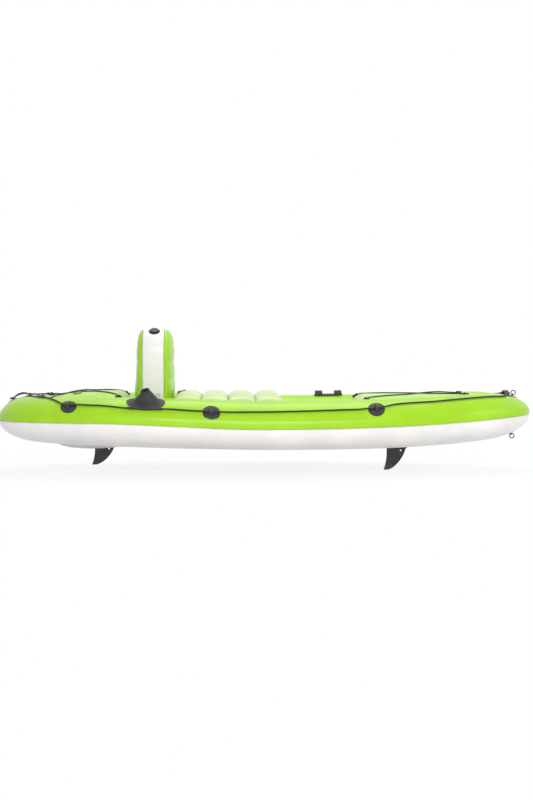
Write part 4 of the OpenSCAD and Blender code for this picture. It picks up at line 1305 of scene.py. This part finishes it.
def creased(piece, degrees=35):
    """Keeps hard edges hard on a smooth piece."""
    for other in bpy.context.selected_objects:
        other.select_set(False)
    piece.select_set(True)
    bpy.context.view_layer.objects.active = piece
    bpy.ops.object.shade_smooth_by_angle(angle=math.radians(degrees))
    piece.select_set(False)


def twin(mesh):
    """The same mesh on the other side of the hull."""
    other = mesh.copy()
    other.transform(Matrix.Scale(-1, 4, (0, 1, 0)))
    clean(other)
    return other


def moulded_piece(name, node, meshes):
    mesh = merged(node, meshes)
    creased(finish_piece(name, mesh, rubber(), "hull", [node]))


def both_sides(name, node, meshes):
    """The port piece as made and the starboard one mirrored."""
    joined = merged(name, meshes)
    for mesh, side in ((joined, "port"), (twin(joined), "starboard")):
        moulded_piece(f"{name}_{side}", f"{node}_{side}", [mesh])


# ---- fittings

GUIDE_PLACES = ((-0.963, 43), (-0.275, 34), (0.519, 42))
GUIDE_R = 0.042
EYES = {
    "stern_bungee_eyes": (("side", -1.112, math.radians(97), -41),
                          ("stern_deck", -0.732, 0.248, 48)),
    "bow_bungee_eyes": (("bow_deck", 0.487, 0.248, -34), ("bow_deck", 1.0, 0.098, 33)),
}


class KAYAK_OT_guides(bpy.types.Operator):
    """Make the rope guides and the eyes of the deck cords"""
    bl_idname = "kayak.guides"
    bl_label = "Guides And Eyes"

    def execute(self, context):
        meshes = []
        for x, degrees in GUIDE_PLACES:
            a = math.radians(degrees)
            meshes.append(patch_mesh("side", x, a, GUIDE_R, GUIDE_R, PATCH_THICK))
            place = seat_matrix("side", x, a, PATCH_SEAT + 0.0026)
            meshes.append(loop_mesh(place, 0.010, 0.006, 0.014))
        both_sides("rope_guides", "rope_guides", meshes)
        for node, places in EYES.items():
            meshes = []
            for f, u, v, turn in places:
                patch = patch_mesh(f, u, v, 0.019, 0.019, 0.0025, 40, 0.0005)
                place = seat_matrix(f, u, v, PATCH_SEAT + 0.0022, turn)
                loop = loop_mesh(place, 0.0075, 0.0045, 0.009, 0.003)
                meshes += [patch, twin(patch), loop, twin(loop)]
            moulded_piece(node + "_moulded", node, meshes)
        return {"FINISHED"}


HOLDER_TILT = 12
HOLDER_H = 0.067
# rings of the flange from under it to the skirt: reach along, reach across, height
FLANGE = (
    (0.002, 0.002, 0), (0.05, 0.03, 0), (0.0935, 0.0615, 0), (0.094, 0.062, 0.0008),
    (0.094, 0.062, 0.0017), (0.092, 0.060, 0.0029), (0.088, 0.056, 0.0031),
    (0.085, 0.0545, 0.0024), (0.081, 0.0535, 0.0024), (0.078, 0.053, 0.0032),
)
# rings from the cone's top over the lip and down the bore: depth under the mouth, radius
COLLAR = (
    (0.0085, 0.0238), (0.0065, 0.0242), (0.0045, 0.0238), (0.0038, 0.0226), (0.0012, 0.0222),
    (0.0002, 0.0210), (-0.0002, 0.0195), (0.0006, 0.0180), (0.0022, 0.0171), (0.056, 0.0170),
    (0.058, 0.0162), (0.058, 0.002),
)


class KAYAK_OT_rod_holders(bpy.types.Operator):
    """Make the two tilted rod holders with their bores"""
    bl_idname = "kayak.rod_holders"
    bl_label = "Rod Holders"

    def execute(self, context):
        u, v = HOLDER_X, math.radians(HOLDER_ANGLE)
        sides = 80
        a = np.linspace(0, 2 * math.pi, sides, endpoint=False)
        p = on_skin("side", u, v, PATCH_SEAT)
        ku, kv = skin_scale("side", u, v)
        tx, ty, n = skin_frame("side", u, v)
        tilt = math.radians(HOLDER_TILT)
        axis = n * math.cos(tilt) - tx * math.sin(tilt)
        mx = np.cross(ty, axis)
        mouth = p + axis * HOLDER_H

        def oval(ru, rv, lift, x=FLANGE_X):
            across = rv * np.sin(a) * np.where(np.sin(a) > 0, 0.8, 1.0)
            height = np.full(sides, PATCH_SEAT + lift)
            return on_skin("side", x + ru * np.cos(a) / ku, v + across / kv, height)

        def circle(c, r):
            return c + np.outer(r * np.cos(a), mx) - np.outer(r * np.sin(a), ty)

        base = [oval(*step) for step in FLANGE]
        foot = oval(0.066, 0.047, 0.006, mix(u, FLANGE_X, 0.6))
        top = circle(mouth - axis * 0.009, 0.0222)
        draw = []
        for t in np.linspace(0, 1, 22):
            waist = 0.0025 * math.sin(math.pi * t) - 0.004 * math.sin(math.pi * t ** 0.35)
            ring = mix(foot, top, t)
            centre = ring.mean(axis=0)
            out = ring - centre
            ring = ring + out / np.linalg.norm(out, axis=1, keepdims=True) * waist
            draw.append(ring)
        skirt = [mix(base[-1], foot, t) - n * 0.0008 * math.sin(math.pi * t)
                 for t in np.linspace(0, 1, 7)[1:-1]]
        collar = [circle(mouth - axis * depth, r) for depth, r in COLLAR]
        rows = np.array(base + skirt + draw + collar)
        cone = sheet_mesh("cone", afloat(rows))
        # the sleeve that the grab line runs through
        ends = tunnel(2)
        way = (ends[1] - ends[0]) / np.linalg.norm(ends[1] - ends[0])
        start, stop = mix(ends[0], ends[1], 0.093), mix(ends[0], ends[1], 0.907)
        steps = (0, 0.001, 0.02)
        line = [start + way * d for d in steps] + [stop - way * d for d in reversed(steps)]
        sleeve = tube_rows(line, [0.0056, 0.0062, 0.0066, 0.0066, 0.0062, 0.0056], 28)
        tube = sheet_mesh("sleeve", afloat(sleeve))
        both_sides("rod_holder_shell", "rod_holder", [cone, tube])
        return {"FINISHED"}


GRIP_THICK = 0.007
GRIP_WIDE = 0.026
GRIP_SEAT = PATCH_SEAT + 0.0025
STERN_GRIP = (0.062 - HALF_L, 0.150 - HALF_L)
STERN_RISE = 0.018
BOW_GRIP_X = HALF_L - 0.122
BOW_GRIP_HALF = 0.052
BOW_RISE = 0.013
REST_X = 0.341
REST_ANGLE = 98
REST_R = 0.017
REST_R_Z = 0.026
REST_APART = 0.051
REST_LONG = 0.038


class KAYAK_OT_handles(bpy.types.Operator):
    """Make the two carry handles and the paddle rest"""
    bl_idname = "kayak.handles"
    bl_label = "Handles And Paddle Rest"

    def execute(self, context):
        ends = [(x, self.strap_z(x, 0.0)) for x in STERN_GRIP]
        up = Matrix.Translation((0, 0, KEEL))
        meshes = [patch_mesh("tube", x, 0.0, 0.024, 0.030, PATCH_THICK) for x in STERN_GRIP]
        meshes.append(strap_mesh(*ends, STERN_RISE, GRIP_THICK, GRIP_WIDE, up))
        meshes += [knob_mesh(seat_matrix("tube", x, 0.0, 0.0095), *KNOB) for x in STERN_GRIP]
        moulded_piece("stern_handle_grip", "stern_handle", meshes)
        x, half = BOW_GRIP_X, BOW_GRIP_HALF
        z = self.strap_z(x, half)
        meshes = []
        patch = patch_mesh("tube", x, half, 0.022, 0.024, PATCH_THICK)
        for side, base in ((1, patch), (-1, twin(patch))):
            knob = Matrix.Translation((x, side * half, z + KEEL + 0.002))
            meshes += [base, knob_mesh(knob, *KNOB)]
        turn = Matrix.Translation((x, 0, KEEL)) @ Matrix.Rotation(math.radians(90), 4, "Z")
        meshes.append(strap_mesh((-half, z), (half, z), BOW_RISE, GRIP_THICK, GRIP_WIDE, turn))
        moulded_piece("bow_handle_grip", "bow_handle", meshes)
        self.paddle_rest()
        return {"FINISHED"}

    @staticmethod
    def strap_z(x, y):
        return float(tube_z(x, y)) + GRIP_SEAT + GRIP_THICK / 2

    @staticmethod
    def paddle_rest():
        a = math.radians(REST_ANGLE)
        meshes = [patch_mesh("side", REST_X, a, 0.076, 0.026, 0.005)]
        half = [(-0.022, 0), (-0.0215, 0.008), (-0.0200, 0.015), (-0.0185, 0.0178),
                (-0.0160, 0.0188)]
        saddle = [(REST_R * math.sin(t), REST_R_Z - REST_R * math.cos(t))
                  for t in np.radians(np.linspace(-64, 64, 19))]
        outline = np.array(half + saddle + [(-px, pz) for px, pz in reversed(half)])
        middle = outline.mean(axis=0)
        for side in (-1, 1):
            rows = []
            for t, s in zip((-0.5, -0.49, -0.46, 0.46, 0.49, 0.5), (0.9, 0.96, 1, 1, 0.96, 0.9)):
                ring = middle + (outline - middle) * s
                rows.append([(REST_LONG * t, py, pz) for py, pz in ring])
            block = sheet_mesh("saddle", np.array(rows))
            block.transform(seat_matrix("side", REST_X + side * REST_APART, a, 0.004))
            meshes.append(block)
        moulded_piece("paddle_rest_moulded", "paddle_rest", meshes)


class KAYAK_OT_ring_patches(bpy.types.Operator):
    """Make the webbing patches that carry the two rings"""
    bl_idname = "kayak.ring_patches"
    bl_label = "Ring Patches"

    def execute(self, context):
        for node, f, x in (("bow_ring_patch", "tube", HALF_L - 0.088),
                           ("tow_ring_patch", "under", HALF_L - 0.095)):
            inner, wall, wide = 0.0034, 0.0025, 0.006
            height = PATCH_SEAT + 0.002 + inner + wall
            section = ring_section(wide, wall, 0.0008, 3)
            rows = [section_at(a, inner + wall / 2, section)
                    for a in np.radians(np.linspace(0, 360, 41)[:-1])]
            loop = sheet_mesh("ring_loop", np.array(rows), close_u=True, caps=False)
            loop.transform(seat_matrix(f, x, 0.0, height))
            meshes = [patch_mesh(f, x, 0.0, 0.026, 0.026, 0.0025, 48, 0.0005), loop]
            moulded_piece(node + "_sewn", node, meshes)
        return {"FINISHED"}


FIN_CHORD = 0.098
FIN_T = 0.008
FIN_STATIONS = (*np.linspace(0, 0.9, 25), 0.93, 0.955, 0.975, 0.985, 0.99)
FOIL = ((0, 0.06, 0.2, 0.45, 0.72, 0.9, 1), (0.12, 0.4, 0.77, 1, 0.86, 0.5, 0.12))
HOLE_R = 0.004
HOLE_AFT = 0.026
HOLE_DOWN = 0.012
FIN_FLANGE_HALF = 0.016
FIN_FLANGE_THICK = 0.005
FIN_BOX_DEPTH = 0.022
FIN_BOX_AFT = 0.012
FIN_BOX_WALL = 0.008
FIN_BOX_FORE = 0.014
FIN_LIP = 0.006
SLIDE = 0.0004


def fin_box_low(x):
    return float(bottom_z(x + FIN_CHORD / 2)) - FIN_BOX_DEPTH


class KAYAK_OT_fins(bpy.types.Operator):
    """Make the two sliding fins with their foil section"""
    bl_idname = "kayak.fins"
    bl_label = "Fins"

    def execute(self, context):
        for name, x, depth in (("front_fin", 0.618, 0.113), ("rear_fin", -0.873, 0.094)):
            low = fin_box_low(x)
            under, deep = low - SLIDE, depth - SLIDE
            rows = []
            t = (1 - np.cos(np.linspace(0, math.pi, 19))) / 2
            for s in FIN_STATIONS:
                front, back = FIN_CHORD * (1 - s ** 1.4) ** 0.6, 0.002 * s - 0.018 * s ** 2.4
                foil = FIN_T / 2 * (1 - 0.55 * s) * np.interp(t, *FOIL)
                near = xyz(mix(back, front, t), foil, -deep * s)
                far = near[::-1] * np.array((1, -1, 1))
                rows.append(np.concatenate([near, far]))
            blade = sheet_mesh("blade", np.array(rows))
            blade.transform(Matrix.Translation((x, 0, under + KEEL)))
            place = Matrix.Translation((x + FIN_CHORD - HOLE_AFT, 0, under - HOLE_DOWN + KEEL))
            hole = revolve("hole", [(0, -0.01), (HOLE_R, -0.01), (HOLE_R, 0.01), (0, 0.01)], 36,
                           place @ Matrix.Rotation(math.radians(90), 4, "X"))
            blade = cut(blade, hole)
            lip = low + FIN_LIP + SLIDE
            web = block_mesh((x, -FIN_T / 2, under - 0.0005 + KEEL),
                             (x + FIN_CHORD - 0.006, FIN_T / 2,
                              under + FIN_LIP + SLIDE + 0.0025 + KEEL), 0.0006)
            flange = block_mesh(
                (x - FIN_BOX_AFT + FIN_BOX_WALL + SLIDE, -FIN_FLANGE_HALF, lip + KEEL),
                (x + FIN_CHORD + FIN_BOX_FORE - 0.0005, FIN_FLANGE_HALF,
                 lip + FIN_FLANGE_THICK + KEEL), 0.001)
            mesh = merged(name + "_blade", [blade, web, flange])
            piece = finish_piece(name + "_blade", mesh, fin_plastic(), name, [name])
            creased(piece, 50)
        return {"FINISHED"}


class KAYAK_OT_fittings(bpy.types.Operator):
    """Give the rings, valves and fin boxes their finishes"""
    bl_idname = "kayak.fittings"
    bl_label = "Fittings"

    def execute(self, context):
        valve = moulded("valve_plastic", tuple(colours().valve), rough=0.42, grain=500.0)
        tab = coated_fabric("grey_tab", linear(196, 199, 194), gloss=0.45)
        steel = metal("ring_steel", linear(96, 96, 98))
        dress = {"backrest_valve": rubber(), "backrest_valve_cap": rubber(),
                 "backrest_side_tabs": tab}
        for key in ("port", "starboard", "seat"):
            dress[f"{key}_valve"] = dress[f"{key}_valve_cap"] = valve
        dress["bow_ring"] = dress["tow_ring"] = steel
        dress["front_fin_box"] = dress["rear_fin_box"] = fin_plastic()
        for node, material in dress.items():
            dress_node(node, material)
        return {"FINISHED"}


# ---- repeated marks

def mark_tree():
    """Geometry nodes that set small rounded marks along a line, each standing on its "out" way."""
    if "kayak_marks" in bpy.data.node_groups:
        return bpy.data.node_groups["kayak_marks"]
    tree = bpy.data.node_groups.new("kayak_marks", "GeometryNodeTree")
    face = tree.interface
    face.new_socket("Line", in_out="INPUT", socket_type="NodeSocketGeometry")
    for key in ("Spacing", "Along", "Across", "Height"):
        face.new_socket(key, in_out="INPUT", socket_type="NodeSocketFloat")
    face.new_socket("Finish", in_out="INPUT", socket_type="NodeSocketMaterial")
    face.new_socket("Marks", in_out="OUTPUT", socket_type="NodeSocketGeometry")

    def node(kind, sockets=None, **settings):
        made = tree.nodes.new(kind)
        for key, value in settings.items():
            setattr(made, key, value)
        for key, value in (sockets or {}).items():
            if isinstance(value, bpy.types.NodeSocket):
                tree.links.new(value, made.inputs[key])
            else:
                made.inputs[key].default_value = value
        return made.outputs[0] if made.outputs else made

    asked = tree.nodes.new("NodeGroupInput").outputs
    curve = node("GeometryNodeMeshToCurve", {0: asked["Line"]})
    even = node("GeometryNodeResampleCurve", {"Curve": curve, "Length": asked["Spacing"]},
                mode="LENGTH")
    ball = node("GeometryNodeMeshUVSphere", {"Segments": 8, "Rings": 5, "Radius": 1.0})
    size = node("ShaderNodeCombineXYZ", {
        0: asked["Along"], 1: asked["Across"], 2: asked["Height"]})
    out = node("GeometryNodeInputNamedAttribute", {"Name": "out"}, data_type="FLOAT_VECTOR")
    stand = node("FunctionNodeAlignRotationToVector", {"Vector": out}, axis="Z")
    turn = node("FunctionNodeAlignRotationToVector", {
        "Rotation": stand, "Vector": node("GeometryNodeInputTangent")}, axis="X", pivot_axis="Z")
    copies = node("GeometryNodeInstanceOnPoints", {
        "Points": even, "Instance": ball, "Rotation": turn, "Scale": size})
    real = node("GeometryNodeRealizeInstances", {0: copies})
    finish = node("GeometryNodeSetMaterial", {"Geometry": real, "Material": asked["Finish"]})
    node("NodeGroupOutput", {0: finish})
    return tree


def marks(name, lines, body, material, spacing, half):
    """Runs marks of three half sizes along [(points, outs), ...], kept as one plain mesh."""
    mesh = bpy.data.meshes.new(name + "_line")
    points, edges = [], []
    for line, _ in lines:
        edges += [(len(points) + k, len(points) + k + 1) for k in range(len(line) - 1)]
        points += [tuple(p) for p in line]
    mesh.from_pydata(points, edges, [])
    layer = mesh.attributes.new("out", "FLOAT_VECTOR", "POINT")
    layer.data.foreach_set("vector", np.concatenate([ways for _, ways in lines]).ravel())
    work = new_piece(name + "_work", mesh)
    tree = mark_tree()
    modifier = work.modifiers.new("marks", "NODES")
    modifier.node_group = tree
    wanted = {"Spacing": spacing, "Finish": material,
              **dict(zip(("Along", "Across", "Height"), half))}
    for item in tree.interface.items_tree:
        if item.in_out == "INPUT" and item.name in wanted:
            modifier[item.identifier] = wanted[item.name]
    out = baked(work)
    smooth(out)
    return finish_piece(name, out, material, body)


class KAYAK_OT_marks(bpy.types.Operator):
    """Set the weld marks of the seam flange and border, and the nubs of the rope guides"""
    bl_idname = "kayak.marks"
    bl_label = "Weld Marks"

    def execute(self, context):
        angles = rim_angles(700)
        x, y = rim(-FLANGE_OUT * 0.35, angles)
        line = afloat(xyz(x, y, seam_z(x) + 0.0006))
        up = np.tile((0.0, 0.0, 1.0), (len(line), 1))
        low = line - (0, 0, 0.0012)
        lines = [(line, up), (mirrored(line), up), (low, -up), (mirrored(low), -up)]
        marks("seam_welds", lines, "hull", white(), 0.0058, (0.0009, 0.0021, 0.0004))
        inset = 0.0012
        outline = back_outline(-inset)
        outline, outs = outline[14:-14], back_ways(outline)[14:-14]
        lines = []
        for at in (0.006, BAND - 0.006):
            p = outline + outs * (band_swell(at / BAND) - inset)
            lines.append((afloat(on_back(BORDER_X + at, p)),
                          xyz(0.0, outs[:, 0], outs[:, 1])))
        marks("border_welds", lines, "backrest", white(), sizes().stitch_gap * 1.6,
              (0.0009, 0.0022, 0.0005))
        lines = []
        for x0, degrees in GUIDE_PLACES:
            a0 = math.radians(degrees)
            ku, kv = skin_scale("side", x0, a0)
            t = np.linspace(0, 2 * math.pi, 97)
            u, v = x0 + GUIDE_R * 0.905 * np.cos(t) / ku, a0 + GUIDE_R * 0.905 * np.sin(t) / kv
            ring = on_skin("side", u, v, np.full(97, PATCH_SEAT + 0.0024))
            ways = skin_ways("side", u, v)[2]
            lines += [(afloat(ring), ways), (mirrored(afloat(ring)), mirrored(ways))]
        marks("guide_nubs", lines, "hull", rubber(), 0.0066,
              (0.0013, 0.0013, 0.0006))
        return {"FINISHED"}


# ---- stage

CAMERA_X = -0.21
CAMERA_BACK = 7.0
CAMERA_UP = 0.537
FOCAL_PX = 1372.5
SENSOR_MM = 36.0
IMAGE = (533, 800)
AIM_PX = (266.5, 400.0)
HORIZON_PX = (225.0, 340.0)


class KAYAK_OT_camera(bpy.types.Operator):
    """Set the camera square to the starboard side"""
    bl_idname = "kayak.camera"
    bl_label = "Camera"

    def execute(self, context):
        data = bpy.data.cameras.new("side_camera")
        data.sensor_width = SENSOR_MM
        data.lens = FOCAL_PX * SENSOR_MM / max(IMAGE)
        data.clip_end = 60
        camera = new_piece("side_camera", data)
        camera.location = (CAMERA_X, -CAMERA_BACK, KEEL + CAMERA_UP)
        look = Vector(((AIM_PX[0] - HORIZON_PX[0]) / FOCAL_PX, 1.0,
                       (HORIZON_PX[1] - AIM_PX[1]) / FOCAL_PX))
        camera.rotation_euler = look.to_track_quat("-Z", "Y").to_euler()
        context.scene.camera = camera
        return {"FINISHED"}


def area_light(name, place, target, width, height, power):
    data = bpy.data.lights.new(name, "AREA")
    data.shape = "RECTANGLE"
    data.size, data.size_y, data.energy = width, height, power
    lamp = new_piece(name, data)
    lamp.location = place
    lamp.rotation_euler = (Vector(target) - Vector(place)).to_track_quat("-Z", "Y").to_euler()


LAMPS = (
    # name, place, target, width, height, power
    ("key_softbox", (0.1, -4.6, 1.8), (0.0, 0, 0.25), 3.2, 0.3, 95),
    ("top_softbox", (0.3, 0.9, 3.7), (0, 0, 0.2), 4.0, 2.4, 85),
    ("bow_softbox", (4.2, -1.4, 1.8), (0.8, 0, 0.3), 1.6, 1.6, 25),
)
FLOOR_HALF = 30.0
WHITE = (1, 1, 1, 1)


class KAYAK_OT_stage(bpy.types.Operator):
    """Build the pale floor, the soft lamps and the white surround"""
    bl_idname = "kayak.stage"
    bl_label = "Stage"

    def execute(self, context):
        context.scene.view_settings.view_transform = "Standard"
        self.floor()
        self.surround(context.scene)
        for lamp in LAMPS:
            area_light(*lamp)
        return {"FINISHED"}

    @staticmethod
    def floor():
        """A pale floor that turns to plain white, as the camera sees it, away from the kayak."""
        mesh = bpy.data.meshes.new("studio_floor")
        corners = [(x * FLOOR_HALF, y * FLOOR_HALF, 0)
                   for x, y in ((-1, -1), (1, -1), (1, 1), (-1, 1))]
        mesh.from_pydata(corners, [], [(0, 1, 2, 3)])
        floor = new_piece("studio_floor", mesh)
        f = Finish("studio_floor")
        f.set(Base_Color=(0.94, 0.94, 0.94, 1), Roughness=0.9, Specular_IOR_Level=0.1)
        glow = f.node("ShaderNodeEmission", None, {"Color": WHITE, "Strength": 1.0})
        x, y = f.axis("X"), f.axis("Y")
        away = (x * x * 0.25 + y * y * 0.8).between(0.5, 1.6)
        blend = f.node("ShaderNodeMixShader", None, {
            0: f.seen() * (away * 0.14 + 0.86), 1: Node(f, f.shader.outputs[0]), 2: glow})
        f.put(f.tree.nodes["Material Output"].inputs["Surface"], blend)
        mesh.materials.append(f.material)

    @staticmethod
    def surround(scene):
        """White where it is seen, and a weaker bluish fill where it only gives light."""
        scene.world = bpy.data.worlds.new("studio_world")
        f = Nodes(scene.world)
        fill = f.tree.nodes["Background"]
        f.put(fill.inputs["Color"], (0.93, 0.96, 1.0, 1))
        f.put(fill.inputs["Strength"], 0.55)
        white_world = f.node("ShaderNodeBackground", None, {"Color": WHITE})
        choose = f.node("ShaderNodeMixShader", None, {
            0: f.seen(), 1: Node(f, fill.outputs[0]), 2: white_world})
        f.put(f.tree.nodes["World Output"].inputs["Surface"], choose)


# ---- registering and running

PIECES = (
    KAYAK_OT_camera, KAYAK_OT_lines, KAYAK_OT_side_tubes, KAYAK_OT_bottom, KAYAK_OT_seam,
    KAYAK_OT_floor, KAYAK_OT_decks, KAYAK_OT_seat, KAYAK_OT_backrest, KAYAK_OT_guides,
    KAYAK_OT_rod_holders, KAYAK_OT_handles, KAYAK_OT_ring_patches, KAYAK_OT_fins,
    KAYAK_OT_marks, KAYAK_OT_fittings, KAYAK_OT_stage,
)


class KAYAK_PT_panel(bpy.types.Panel):
    """Lists the sizes, colours and pieces of the kayak"""
    bl_idname = "KAYAK_PT_panel"
    bl_label = "Inflatable Kayak"
    bl_space_type = "VIEW_3D"
    bl_region_type = "UI"
    bl_category = "Kayak"

    def draw(self, context):
        for group in (context.scene.kayak_sizes, context.scene.kayak_colours):
            for key in group.bl_rna.properties.keys():
                if key not in ("rna_type", "name"):
                    self.layout.prop(group, key)
        for piece in PIECES:
            self.layout.operator(piece.bl_idname)


CLASSES = (KayakSizes, KayakColours) + PIECES + (KAYAK_PT_panel,)


def register():
    for cls in CLASSES:
        bpy.utils.register_class(cls)
    bpy.types.Scene.kayak_sizes = PointerProperty(type=KayakSizes)
    bpy.types.Scene.kayak_colours = PointerProperty(type=KayakColours)


def unregister():
    del bpy.types.Scene.kayak_sizes
    del bpy.types.Scene.kayak_colours
    for cls in reversed(CLASSES):
        bpy.utils.unregister_class(cls)


def main():
    register()
    for piece in PIECES:
        group, name = piece.bl_idname.split(".")
        getattr(getattr(bpy.ops, group), name)()


if __name__ == "__main__":
    main()
